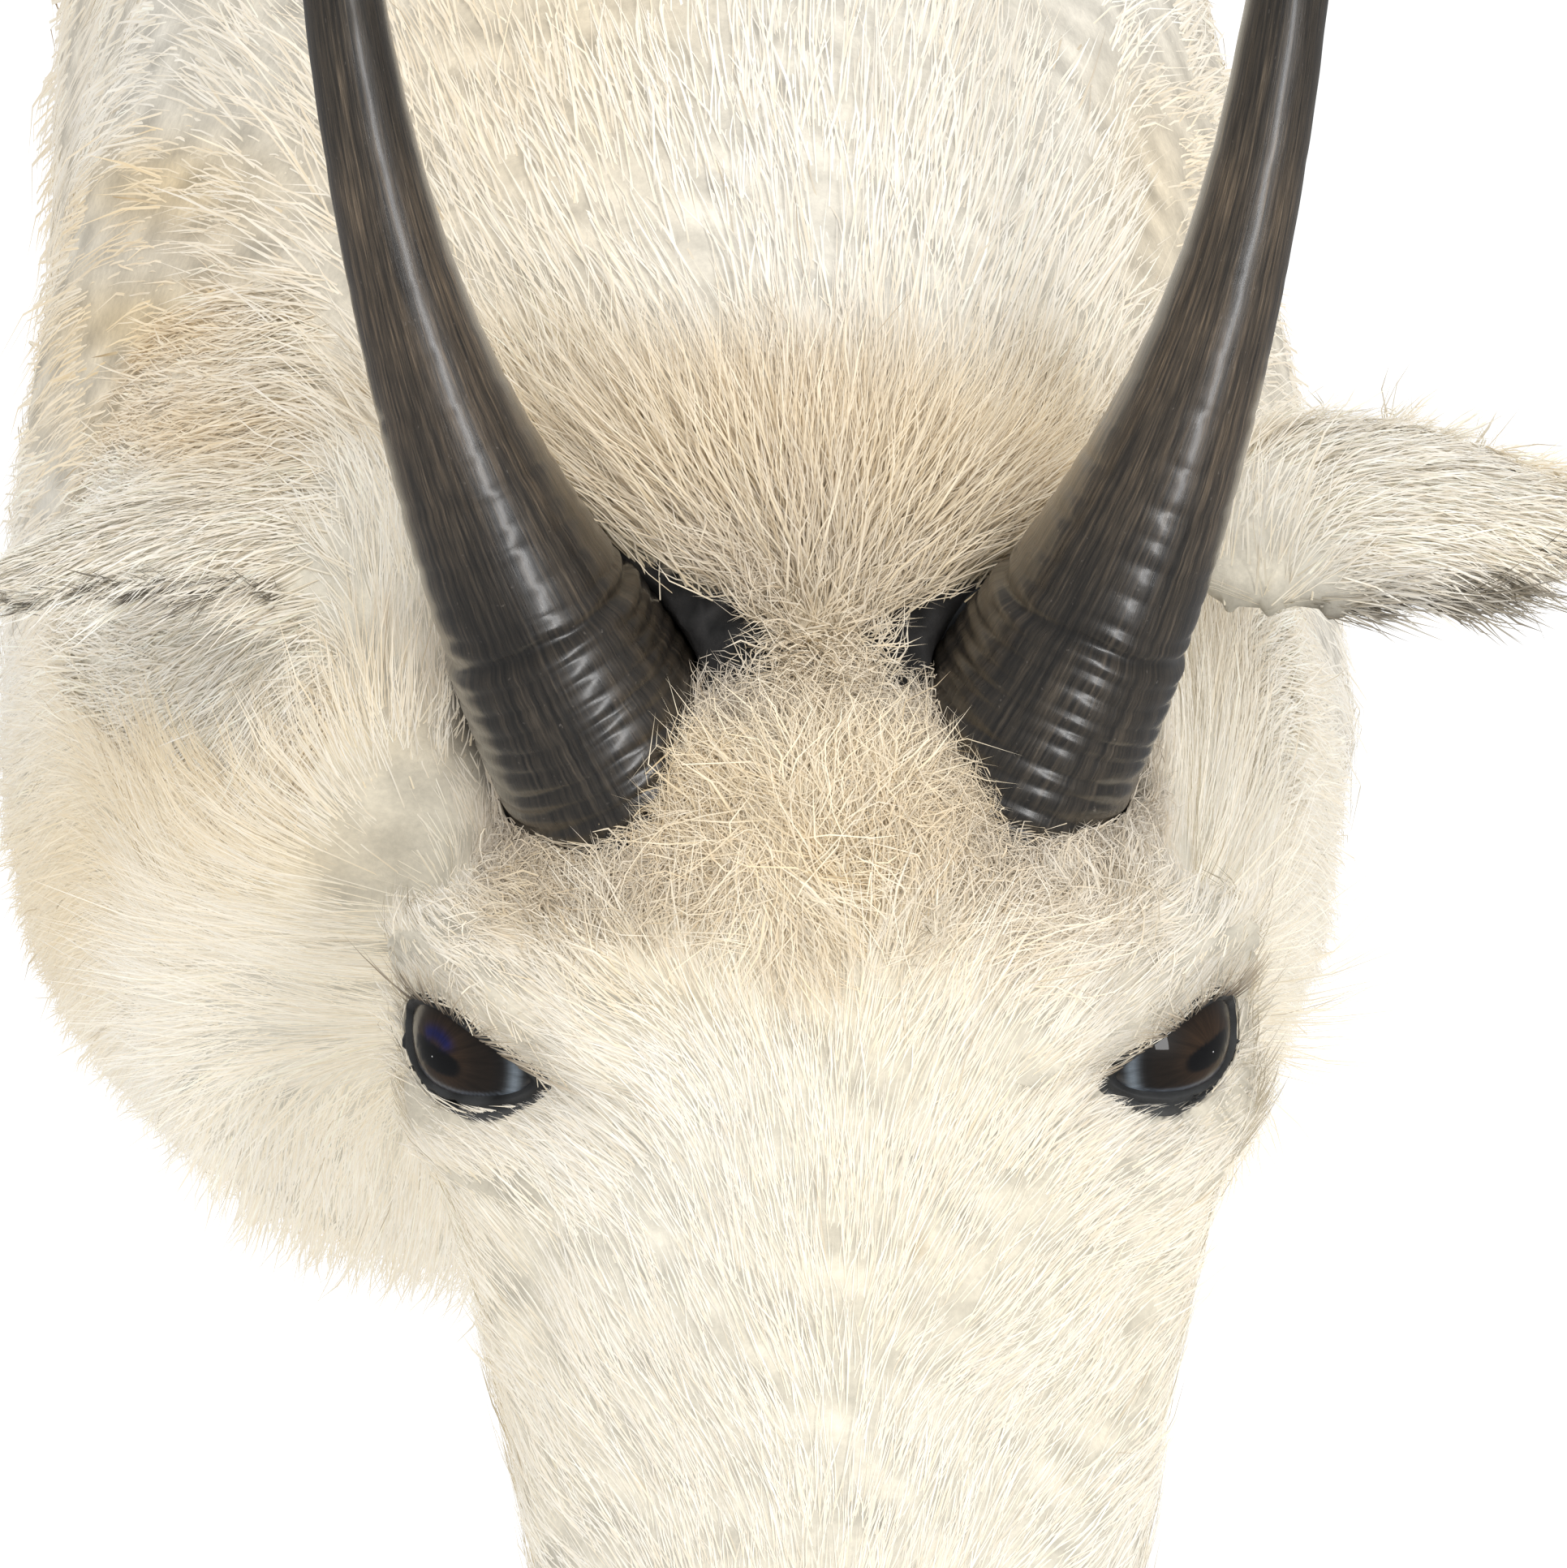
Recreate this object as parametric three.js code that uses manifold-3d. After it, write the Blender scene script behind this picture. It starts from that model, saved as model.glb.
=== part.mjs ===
import * as THREE from 'three';
import { mergeVertices } from 'three/addons/utils/BufferGeometryUtils.js';
import Module from 'manifold-3d';

// Mountain goat shoulder mount, in millimetres with +Z up. The origin is the middle of the
// back board's wall face. The wall is on the +Y side and the goat looks toward -Y.

const wasm = await Module();
wasm.setup();

const clearance = 0.3;

// The head hangs from the middle of the line between its eyes.
const head = {
  eyeMiddle: new THREE.Vector3(-30, -500, -60),
  yaw: THREE.MathUtils.degToRad(-10),
  faceSlope: THREE.MathUtils.degToRad(55),
};

// The neck and shoulders, from the board to the back of the skull. Each row holds the middle
// (x, y, z), the half width, the height above and below the middle, the tilt and the yaw.
const neckStations = [
  [4, -18.3, 0, 108, 235, 215, 0, 0],
  [1, -110, -2, 110, 230, 205, 4, 0],
  [-6, -210, -10, 113, 204, 178, 8, -2],
  [-19, -305, -28, 118, 166, 142, 12, -5],
  [-32, -385, -50, 110, 128, 102, 20, -8],
  [-38, -455, -72, 84, 88, 74, 30, -10],
];
const neckEgg = 0.22;
const neckSquareness = 2.3;

// The head, from the nape to the nose. Each row holds the distance down the face from the eyes,
// the half width, the heights of the top, of the widest level and of the bottom, and the taper
// toward the jaw.
const headStations = [
  [-100, 36, 4, -22, -58, 0.1],
  [-78, 56, 26, -20, -88, 0.1],
  [-52, 62, 36, -17, -102, 0.12],
  [-26, 61, 38, -12, -100, 0.16],
  [0, 59, 33, -6, -92, 0.2],
  [26, 55, 27, -8, -80, 0.22],
  [56, 49, 23, -10, -69, 0.22],
  [92, 42, 20, -12, -61, 0.2],
  [128, 36, 17, -14, -56, 0.16],
  [158, 34, 13, -17, -54, 0.1],
  [178, 32, 6, -19, -51, 0.06],
  [190, 25, -3, -22, -46, 0],
  [197, 13, -12, -24, -37, 0],
];
const headSquareness = 2.25;

const eye = { radius: 15.5, side: 49, height: 2 };
const lidMound = { radius: 19.4, length: 27, side: 47.5, along: 1, height: 2 };
const lidOpening = { length: 14, height: 7.5, depth: 9, reach: 17 };
const gaze = new THREE.Vector3(0.74, 0.42, 0.52).normalize();
const lidSlant = new THREE.Vector3(-0.7, 0.7, -0.09).normalize();

// A horn runs from its rim, which is sunk in the scalp, and starts to curve back past the rim.
const horn = {
  length: 272,
  root: { side: -0.8, along: -52.7, height: 30.3 },
  rimLength: 22,
  forwardLean: THREE.MathUtils.degToRad(-8),
  backwardLean: THREE.MathUtils.degToRad(56),
  depthRatio: 1.15,
  sides: 16,
  rings: 20,
};

const ear = { length: 96, side: 56, height: -8, sides: 16, rings: 11, wall: 6 };
const leftEar = { side: -1, along: -84, droop: 4, roll: 50, halfWidth: 26 };
const rightEar = { side: 1, along: -79, droop: -8, roll: 36, halfWidth: 31 };

const beard = { along: 150, height: -46, length: 84, width: 23, depth: 31 };

const board = { thickness: 18, inset: 4, bevel: 1.5 };
const hanger = { height: 150, width: 26, length: 64, plate: 1.2, recess: 1.5, pocket: 3.9 };
const keyhole = { headRadius: 5.5, slotWidth: 5.6, slotLength: 14 };
const hangerScrew = { headRadius: 3.6, headHeight: 1.1, shankRadius: 1.6, length: 14, spacing: 48 };
const boardScrew = { headRadius: 4.6, headHeight: 3, shankRadius: 2.2, length: 50, x: 62, z: 130 };

const furLook = { color: 0xe9dfc8, roughness: 0.95, metalness: 0 };
const hornLook = { color: 0x2e2927, roughness: 0.35, metalness: 0 };
const glassLook = { color: 0x16110d, roughness: 0.04, metalness: 0 };
const plywoodLook = { color: 0xc7a77a, roughness: 0.75, metalness: 0 };
const steelLook = { color: 0xb9bcc0, roughness: 0.3, metalness: 1 };

// Directions of the head: across it, down the face, and out of the face.
const up = new THREE.Vector3(0, 0, 1);
const across = new THREE.Vector3(Math.cos(head.yaw), Math.sin(head.yaw), 0);
const forward = new THREE.Vector3(Math.sin(head.yaw), -Math.cos(head.yaw), 0);
const downFace = forward.clone().multiplyScalar(Math.cos(head.faceSlope))
  .addScaledVector(up, -Math.sin(head.faceSlope));
const outOfFace = forward.clone().multiplyScalar(Math.sin(head.faceSlope))
  .addScaledVector(up, Math.cos(head.faceSlope));

function headDirection(side, along, height) {
  return new THREE.Vector3()
    .addScaledVector(across, side)
    .addScaledVector(downFace, along)
    .addScaledVector(outOfFace, height);
}

function onHead(side, along, height) {
  return headDirection(side, along, height).add(head.eyeMiddle);
}

// Smooth values between the rows of a table, at a position counted in rows.
function betweenRows(rows) {
  const positions = rows.map((row, index) => index);
  const interpolant = new THREE.CubicInterpolant(positions, rows.flat(), rows[0].length);
  return (position) => Array.from(interpolant.evaluate(position));
}

// A closed solid through rings that all have the same number of points, with a fan at each end.
function loft(rings) {
  const sides = rings[0].length;
  const middle = (ring) => ring.reduce((sum, point) => sum.add(point), new THREE.Vector3())
    .divideScalar(sides);
  const points = [...rings.flat(), middle(rings[0]), middle(rings.at(-1))];
  const startMiddle = points.length - 2;
  const endMiddle = points.length - 1;
  const lastRing = (rings.length - 1) * sides;
  const indices = [];
  for (let side = 0; side < sides; side += 1) {
    const next = (side + 1) % sides;
    for (let ring = 0; ring < rings.length - 1; ring += 1) {
      const near = ring * sides;
      const far = near + sides;
      indices.push(near + side, near + next, far + next, near + side, far + next, far + side);
    }
    indices.push(startMiddle, next, side, endMiddle, lastRing + side, lastRing + next);
  }
  const geometry = new THREE.BufferGeometry().setFromPoints(points);
  geometry.setIndex(indices);
  return geometry;
}

function solid(geometry) {
  const bare = geometry.clone();
  bare.deleteAttribute('normal');
  bare.deleteAttribute('uv');
  const merged = mergeVertices(bare);
  return new wasm.Manifold(new wasm.Mesh({
    numProp: 3,
    vertProperties: new Float32Array(merged.attributes.position.array),
    triVerts: new Uint32Array(merged.index.array),
  }));
}

function geometryOf(manifold) {
  const result = manifold.getMesh();
  const geometry = new THREE.BufferGeometry();
  geometry.setAttribute('position', new THREE.BufferAttribute(result.vertProperties, 3));
  geometry.setIndex(new THREE.BufferAttribute(result.triVerts, 1));
  geometry.computeVertexNormals();
  return geometry;
}

function mesh(name, geometry, look) {
  const piece = new THREE.Mesh(geometry, new THREE.MeshStandardMaterial(look));
  piece.name = name;
  return piece;
}

// A point on a rounded outline whose corners grow squarer with the exponent.
function roundedOutline(angle, exponent) {
  const cosine = Math.cos(angle);
  const sine = Math.sin(angle);
  const scale = (Math.abs(cosine) ** exponent + Math.abs(sine) ** exponent) ** (-1 / exponent);
  return [cosine * scale, sine * scale];
}

function neckRing(row, sides, inset = 0) {
  const [x, y, z, halfWidth, above, below, tiltDegrees, yawDegrees] = row;
  const tilt = THREE.MathUtils.degToRad(tiltDegrees);
  const yaw = THREE.MathUtils.degToRad(yawDegrees);
  const sideways = new THREE.Vector3(Math.cos(yaw), Math.sin(yaw), 0);
  const upward = new THREE.Vector3(Math.sin(yaw), -Math.cos(yaw), 0)
    .multiplyScalar(Math.sin(tilt)).addScaledVector(up, Math.cos(tilt));
  return Array.from({ length: sides }, (unused, index) => {
    const [wide, high] = roundedOutline(2 * Math.PI * index / sides, neckSquareness);
    const width = (halfWidth - inset) * wide * (1 - neckEgg * high);
    const height = high * ((high > 0 ? above : below) - inset);
    return new THREE.Vector3(x, y, z).addScaledVector(sideways, width).addScaledVector(upward, height);
  });
}

function neckSolid() {
  const rowAt = betweenRows(neckStations);
  const ringCount = 17;
  const last = neckStations.length - 1;
  const rings = Array.from({ length: ringCount }, (unused, index) =>
    neckRing(rowAt(last * index / (ringCount - 1)), 32));
  return solid(loft(rings));
}

function headSolid() {
  const rowAt = betweenRows(headStations);
  const ringCount = 25;
  const sides = 28;
  const last = headStations.length - 1;
  const rings = Array.from({ length: ringCount }, (unused, ringIndex) => {
    const [along, halfWidth, top, widest, bottom, taper] =
      rowAt(last * ringIndex / (ringCount - 1));
    return Array.from({ length: sides }, (unusedSide, index) => {
      const [wide, high] = roundedOutline(2 * Math.PI * index / sides, headSquareness);
      const narrowing = high < 0 ? 1 + 2 * taper * high : 1 - 0.5 * taper * high;
      const height = high > 0 ? widest + (top - widest) * high : widest + (widest - bottom) * high;
      return onHead(halfWidth * wide * narrowing, along, height);
    });
  });
  return solid(loft(rings));
}

// An ear is a curved leaf: an outer arc and an inner arc that close on each other, ring by ring.
function earSolid({ side, along, droop, roll, halfWidth: widest }) {
  const fall = THREE.MathUtils.degToRad(droop);
  const turn = THREE.MathUtils.degToRad(roll);
  const outward = headDirection(side * Math.cos(fall), Math.sin(fall), -0.16).normalize();
  const backFace = headDirection(0, -Math.sin(turn), Math.cos(turn));
  const widthWay = new THREE.Vector3().crossVectors(outward, backFace).normalize();
  const halfWidthAt = (t) => widest * (0.62 + 0.42 * Math.sin(Math.PI * Math.min(1, t * 1.3)) - 0.4 * t * t);
  const arcPoints = ear.sides / 2;
  const rings = Array.from({ length: ear.rings }, (unused, ringIndex) => {
    const t = ringIndex / (ear.rings - 1);
    const middle = onHead(side * ear.side, along, ear.height)
      .addScaledVector(outward, ear.length * t);
    const tipRounding = Math.sqrt(Math.max(0.02, 1 - t ** 6));
    const halfWidth = halfWidthAt(t) * tipRounding;
    const crown = 0.62 * halfWidth;
    const wall = Math.min(ear.wall, 0.55 * crown);
    const at = (angle, height) => middle.clone()
      .addScaledVector(widthWay, -halfWidth * Math.sin(angle))
      .addScaledVector(backFace, height * Math.cos(angle));
    const outer = Array.from({ length: arcPoints }, (unusedArc, index) =>
      at(Math.PI * (index / arcPoints - 0.5), crown));
    const inner = Array.from({ length: arcPoints }, (unusedArc, index) =>
      at(Math.PI * (0.5 - index / arcPoints), crown - wall));
    return side > 0 ? [...outer, ...inner].reverse() : [...outer, ...inner];
  });
  return solid(loft(rings));
}

function beardSolid() {
  const rings = Array.from({ length: 9 }, (unused, ringIndex) => {
    const t = ringIndex / 8;
    const middle = onHead(0, beard.along - 10 * t, beard.height + 16)
      .addScaledVector(up, -(beard.length + 16) * t);
    const size = Math.sqrt(1 - t * t * 0.96) * (1 - 0.35 * t);
    return Array.from({ length: 16 }, (unusedSide, index) => {
      const angle = -2 * Math.PI * index / 16;
      return middle.clone()
        .addScaledVector(across, beard.width * size * Math.cos(angle))
        .addScaledVector(forward, -beard.depth * size * Math.sin(angle));
    });
  });
  return solid(loft(rings));
}

// The distance of a horn's middle line from the middle of the head, how fast it grows along the
// horn, and the horn's half width.
function hornSpread(distance) {
  return 28.8 + 0.03 * distance + 45 * Math.tanh(distance / 92.8);
}

function hornSpreadSlope(distance) {
  return 0.03 + 45 / 92.8 / Math.cosh(distance / 92.8) ** 2;
}

function hornRadius(distance) {
  const left = Math.max(0, 1 - distance / horn.length);
  return 0.8 + 8.5 * left ** 0.75 + 10.4 * Math.exp(-((Math.max(0, distance) / 54.4) ** 1.85));
}

function hornGeometry(side, extra) {
  const rings = [];
  const step = horn.length / (horn.rings - 1);
  const middle = onHead(horn.root.side, horn.root.along, horn.root.height);
  for (let index = 0; index < horn.rings; index += 1) {
    const distance = index * step;
    const part = Math.max(0, distance - horn.rimLength) / (horn.length - horn.rimLength);
    const lean = horn.forwardLean + (horn.backwardLean - horn.forwardLean) * part ** 1.1;
    const climb = forward.clone().multiplyScalar(-Math.sin(lean)).addScaledVector(up, Math.cos(lean));
    if (index === 0) middle.addScaledVector(climb, -horn.rimLength - extra);
    const along = climb.clone().addScaledVector(across, side * hornSpreadSlope(distance)).normalize();
    const sideways = across.clone().addScaledVector(along, -across.dot(along)).normalize();
    const frontward = new THREE.Vector3().crossVectors(along, sideways);
    const radius = hornRadius(distance) + extra;
    const centre = middle.clone().addScaledVector(across, side * hornSpread(distance));
    rings.push(Array.from({ length: horn.sides }, (unused, corner) => {
      const angle = 2 * Math.PI * corner / horn.sides;
      return centre.clone()
        .addScaledVector(sideways, radius * Math.cos(angle))
        .addScaledVector(frontward, radius * horn.depthRatio * Math.sin(angle));
    }));
    middle.addScaledVector(climb, step);
  }
  return loft(rings);
}

function eyeCentre(side) {
  return onHead(side * eye.side, 0, eye.height);
}

// The rounded rim of the eye's orbit, longer down the face than across it.
function lidMoundSolid(side) {
  const geometry = new THREE.SphereGeometry(1, 16, 12);
  geometry.scale(lidMound.radius, lidMound.length, lidMound.radius);
  geometry.applyMatrix4(new THREE.Matrix4().makeBasis(across, downFace.clone().negate(), outOfFace));
  const centre = onHead(side * lidMound.side, lidMound.along, lidMound.height);
  geometry.translate(centre.x, centre.y, centre.z);
  return solid(geometry);
}

function eyeSocketSolid(side) {
  const geometry = new THREE.SphereGeometry(eye.radius + clearance, 16, 12);
  const centre = eyeCentre(side);
  geometry.translate(centre.x, centre.y, centre.z);
  return solid(geometry);
}

// The opening between the lids: a flattened ball set across the front of the eye.
function lidOpeningSolid(side) {
  const look = headDirection(side * gaze.x, gaze.y, gaze.z);
  const slit = headDirection(side * lidSlant.x, lidSlant.y, lidSlant.z);
  const lidUp = new THREE.Vector3().crossVectors(look, slit).normalize();
  const along = new THREE.Vector3().crossVectors(lidUp, look).normalize();
  const geometry = new THREE.SphereGeometry(1, 16, 10);
  geometry.scale(lidOpening.length, lidOpening.height, lidOpening.depth);
  geometry.applyMatrix4(new THREE.Matrix4().makeBasis(along, lidUp, look));
  const centre = eyeCentre(side).addScaledVector(look, lidOpening.reach);
  geometry.translate(centre.x, centre.y, centre.z);
  return solid(geometry);
}

// A countersunk screw in the wall face, pointing away from the wall.
function screwGeometry(screw, x, z, depth, extra = 0) {
  const profile = [
    new THREE.Vector2(0, screw.length + extra),
    new THREE.Vector2(screw.shankRadius + extra, screw.length - 3),
    new THREE.Vector2(screw.shankRadius + extra, screw.headHeight + extra),
    new THREE.Vector2(screw.headRadius + extra, 0),
    new THREE.Vector2(0, 0),
  ];
  const geometry = new THREE.LatheGeometry(profile, 10);
  geometry.scale(1, -1, 1);
  geometry.translate(x, -depth, z);
  return geometry;
}

function screwCut(screw, x, z, depth) {
  const bore = new THREE.CylinderGeometry(screw.headRadius + clearance, screw.headRadius + clearance,
    depth + 2, 10);
  bore.translate(x, -depth / 2 + 1, z);
  const cut = solid(screwGeometry(screw, x, z, depth, clearance));
  return depth > 0 ? cut.add(solid(bore)) : cut;
}

// The board follows the outline of the shoulders at the wall, a little smaller.
function boardOutline() {
  const ring = neckRing(neckStations[0], 64, board.inset);
  return new THREE.Shape(ring.map((point) => new THREE.Vector2(point.x, point.z)));
}

function extrudeTowardRoom(shape, from, to, bevel = 0) {
  const geometry = new THREE.ExtrudeGeometry(shape, {
    depth: to - from - 2 * bevel,
    bevelEnabled: bevel > 0,
    bevelThickness: bevel,
    bevelSize: bevel,
    bevelOffset: -bevel,
    bevelSegments: 1,
    curveSegments: 8,
  });
  geometry.rotateX(Math.PI / 2);
  geometry.translate(0, -from - bevel, 0);
  return geometry;
}

function roundedBar(width, length, centreHeight) {
  const radius = width / 2;
  const reach = length / 2 - radius;
  const shape = new THREE.Shape();
  shape.absarc(0, centreHeight + reach, radius, 0, Math.PI);
  shape.absarc(0, centreHeight - reach, radius, Math.PI, 2 * Math.PI);
  shape.closePath();
  return shape;
}

function keyholePath() {
  const half = keyhole.slotWidth / 2;
  const start = Math.asin(half / keyhole.headRadius);
  const path = new THREE.Path();
  const bottom = hanger.height - 6;
  path.absarc(0, bottom, keyhole.headRadius, Math.PI / 2 + start, Math.PI / 2 - start + 2 * Math.PI);
  path.absarc(0, bottom + keyhole.slotLength, half, 0, Math.PI);
  path.closePath();
  return path;
}

const hangerScrewPlaces = [
  ['hanger_screw_top', hanger.height + hangerScrew.spacing / 2],
  ['hanger_screw_bottom', hanger.height - hangerScrew.spacing / 2],
];
const boardScrewPlaces = [
  ['board_screw_1', -boardScrew.x, boardScrew.z - 60],
  ['board_screw_2', boardScrew.x, boardScrew.z - 60],
  ['board_screw_3', -boardScrew.x, -boardScrew.z],
  ['board_screw_4', boardScrew.x, -boardScrew.z],
];

function capeGeometry() {
  let cape = neckSolid().add(headSolid()).add(beardSolid())
    .add(earSolid(leftEar)).add(earSolid(rightEar));
  for (const side of [-1, 1]) {
    cape = cape.add(lidMoundSolid(side))
      .subtract(eyeSocketSolid(side))
      .subtract(lidOpeningSolid(side))
      .subtract(solid(hornGeometry(side, clearance)));
  }
  for (const [, x, z] of boardScrewPlaces) {
    cape = cape.subtract(screwCut(boardScrew, x, z, 0));
  }
  return geometryOf(cape);
}

function boardGeometry() {
  let wood = solid(extrudeTowardRoom(boardOutline(), 0, board.thickness, board.bevel));
  const recess = roundedBar(hanger.width + 0.8, hanger.length + 0.8, hanger.height);
  const pocket = roundedBar(16, 34, hanger.height);
  wood = wood.subtract(solid(extrudeTowardRoom(recess, -1, hanger.recess)))
    .subtract(solid(extrudeTowardRoom(pocket, -1, hanger.pocket)));
  for (const [, z] of hangerScrewPlaces) {
    wood = wood.subtract(screwCut(hangerScrew, 0, z, 0));
  }
  for (const [, x, z] of boardScrewPlaces) {
    wood = wood.subtract(screwCut(boardScrew, x, z, 0));
  }
  return geometryOf(wood);
}

function hangerGeometry() {
  const shape = roundedBar(hanger.width, hanger.length, hanger.height);
  shape.holes.push(keyholePath());
  let plate = solid(extrudeTowardRoom(shape, 0, hanger.plate));
  for (const [, z] of hangerScrewPlaces) {
    plate = plate.subtract(screwCut(hangerScrew, 0, z, 0));
  }
  return geometryOf(plate);
}

function eyePiece(name, side) {
  const piece = mesh(name, new THREE.SphereGeometry(eye.radius, 16, 12), glassLook);
  piece.position.copy(eyeCentre(side));
  return piece;
}

const mount = new THREE.Group();
mount.add(
  mesh('cape', capeGeometry(), furLook),
  mesh('horn_left', hornGeometry(-1, 0), hornLook),
  mesh('horn_right', hornGeometry(1, 0), hornLook),
  eyePiece('eye_left', -1),
  eyePiece('eye_right', 1),
  mesh('back_board', boardGeometry(), plywoodLook),
  mesh('hanger_plate', hangerGeometry(), steelLook),
);
for (const [name, z] of hangerScrewPlaces) {
  mount.add(mesh(name, screwGeometry(hangerScrew, 0, z, 0), steelLook));
}
for (const [name, x, z] of boardScrewPlaces) {
  mount.add(mesh(name, screwGeometry(boardScrew, x, z, 0), steelLook));
}

export default mount;
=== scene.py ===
import bpy
import bmesh
import math
import numpy as np
from mathutils.bvhtree import BVHTree
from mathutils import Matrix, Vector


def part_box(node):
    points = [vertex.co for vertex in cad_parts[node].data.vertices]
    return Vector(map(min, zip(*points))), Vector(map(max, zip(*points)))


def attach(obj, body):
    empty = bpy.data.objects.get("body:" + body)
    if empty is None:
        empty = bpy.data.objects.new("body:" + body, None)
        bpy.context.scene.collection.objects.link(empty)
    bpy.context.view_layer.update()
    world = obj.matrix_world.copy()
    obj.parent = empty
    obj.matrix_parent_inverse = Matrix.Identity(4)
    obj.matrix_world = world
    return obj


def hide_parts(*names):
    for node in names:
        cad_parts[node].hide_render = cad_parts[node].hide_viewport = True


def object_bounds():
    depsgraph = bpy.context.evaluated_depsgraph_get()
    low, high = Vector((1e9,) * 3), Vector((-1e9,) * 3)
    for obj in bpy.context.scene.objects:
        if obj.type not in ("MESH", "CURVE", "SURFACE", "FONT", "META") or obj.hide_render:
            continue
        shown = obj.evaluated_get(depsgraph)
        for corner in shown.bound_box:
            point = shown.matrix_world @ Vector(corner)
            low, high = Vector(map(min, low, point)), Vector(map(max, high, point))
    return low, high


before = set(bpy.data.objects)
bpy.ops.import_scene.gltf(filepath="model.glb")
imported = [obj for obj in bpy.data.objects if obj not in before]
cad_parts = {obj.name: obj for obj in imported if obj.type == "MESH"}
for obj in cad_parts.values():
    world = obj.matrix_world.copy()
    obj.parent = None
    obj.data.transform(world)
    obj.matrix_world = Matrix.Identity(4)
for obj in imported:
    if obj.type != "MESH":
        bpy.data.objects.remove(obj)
cadBox = [list(corner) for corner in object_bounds()]
print("frame loaded")

# A mountain goat shoulder mount: hide over a form, horns, glass eyes and a board at the wall.
# Settings are in millimetres and degrees, meshes in metres, in the frame's own axes.
mm = 0.001


def unit(vectors):
    return vectors / np.maximum(np.linalg.norm(vectors, axis=-1, keepdims=True), 1e-12)


def dot(a, b):
    return (a * b).sum(-1)


def column(values):
    return np.asarray(values)[..., None]


def smoothStep(low, high, value):
    # 0 below low, 1 above high, and a cubic ease between them
    t = np.clip((value - low) / (high - low), 0, 1)
    return t * t * (3 - 2 * t)


def bump(value, middle, width):
    # a bell curve of height 1
    return np.exp(-(((value - middle) / width) ** 2))


def blend(first, second, amount):
    return first + (second - first) * amount


def wander(points, size, seed):
    # smooth noise from about -1 to 1: seven sine waves in seeded directions, of about this length
    rng = np.random.default_rng(seed)
    total = np.zeros(points.shape[:-1])
    for wave in range(7):
        direction = rng.normal(size=3)
        direction *= rng.uniform(0.7, 1.6) * 2 * math.pi / size / np.linalg.norm(direction)
        total += np.sin(points @ direction + rng.uniform(0, 2 * math.pi))
    return total / 3.2


# Directions of the head, from where the frame holds the eyes

headPlan = {"faceSlope": 55, "eyeHeight": 2, "eyeSide": 49}


def boxMiddle(node):
    low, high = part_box(node)
    return np.array((low + high) / 2)


eyeMiddles = {-1: boxMiddle("eye_left"), 1: boxMiddle("eye_right")}
up = np.array([0.0, 0.0, 1.0])
across = unit(eyeMiddles[1] - eyeMiddles[-1])
forward = np.cross(across, up)
faceSlope = math.radians(headPlan["faceSlope"])
downFace = math.cos(faceSlope) * forward - math.sin(faceSlope) * up
outOfFace = math.sin(faceSlope) * forward + math.cos(faceSlope) * up
eyeLine = (eyeMiddles[-1] + eyeMiddles[1]) / 2 - headPlan["eyeHeight"] * mm * outOfFace


def toHead(points):
    # millimetres across the head, down the face and out of the face
    away = (points - eyeLine) / mm
    return away @ across, away @ downFace, away @ outOfFace


def headWay(side, along, height):
    side, along, height = np.broadcast_arrays(side, along, height)
    return column(side) * across + column(along) * downFace + column(height) * outOfFace


def fromHead(side, along, height):
    return eyeLine + mm * headWay(side, along, height)


# Camera, at the photograph's view of the face

cameraPlan = {
    "azimuth": -11, "elevation": 18, "distance": 1100, "sensor": 36,
    "picture": (1931, 1932), "pixelsPerMillimetre": 7.8, "eyePixel": (1012, 1268),
}


def cameraDirections():
    a = math.radians(cameraPlan["azimuth"])
    e = math.radians(cameraPlan["elevation"])
    back = np.array([math.sin(a) * math.cos(e), -math.cos(a) * math.cos(e), math.sin(e)])
    right = np.array([math.cos(a), math.sin(a), 0.0])
    return right, np.cross(back, right), back


viewRight, viewUp, viewBack = cameraDirections()
pixelFocal = cameraPlan["pixelsPerMillimetre"] * cameraPlan["distance"]
pictureMiddle = (cameraPlan["picture"][0] / 2, cameraPlan["picture"][1] / 2)
eyeShift = [(cameraPlan["eyePixel"][k] - pictureMiddle[k]) / pixelFocal for k in (0, 1)]
cameraPlace = eyeLine + cameraPlan["distance"] * mm * (
    viewBack - eyeShift[0] * viewRight + eyeShift[1] * viewUp)


def photoPixel(points):
    # where the photograph shows a point, in its 1931 by 1932 frame
    away = points - cameraPlace
    depth = -(away @ viewBack)
    return (pictureMiddle[0] + pixelFocal * (away @ viewRight) / depth,
            pictureMiddle[1] - pixelFocal * (away @ viewUp) / depth)


def aimedMatrix(right, upward, back, place):
    turn = np.eye(4)
    turn[:3, 0], turn[:3, 1], turn[:3, 2], turn[:3, 3] = right, upward, back, place
    return [list(row) for row in turn.T]


def buildCamera():
    data = bpy.data.cameras.new("camera")
    data.sensor_width = cameraPlan["sensor"]
    data.lens = pixelFocal * cameraPlan["sensor"] / cameraPlan["picture"][0]
    data.clip_start = 0.05
    data.clip_end = 50
    camera = bpy.data.objects.new("camera", data)
    bpy.context.scene.collection.objects.link(camera)
    camera.matrix_world = aimedMatrix(viewRight, viewUp, viewBack, cameraPlace)
    bpy.context.scene.camera = camera


# Mesh making

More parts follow.
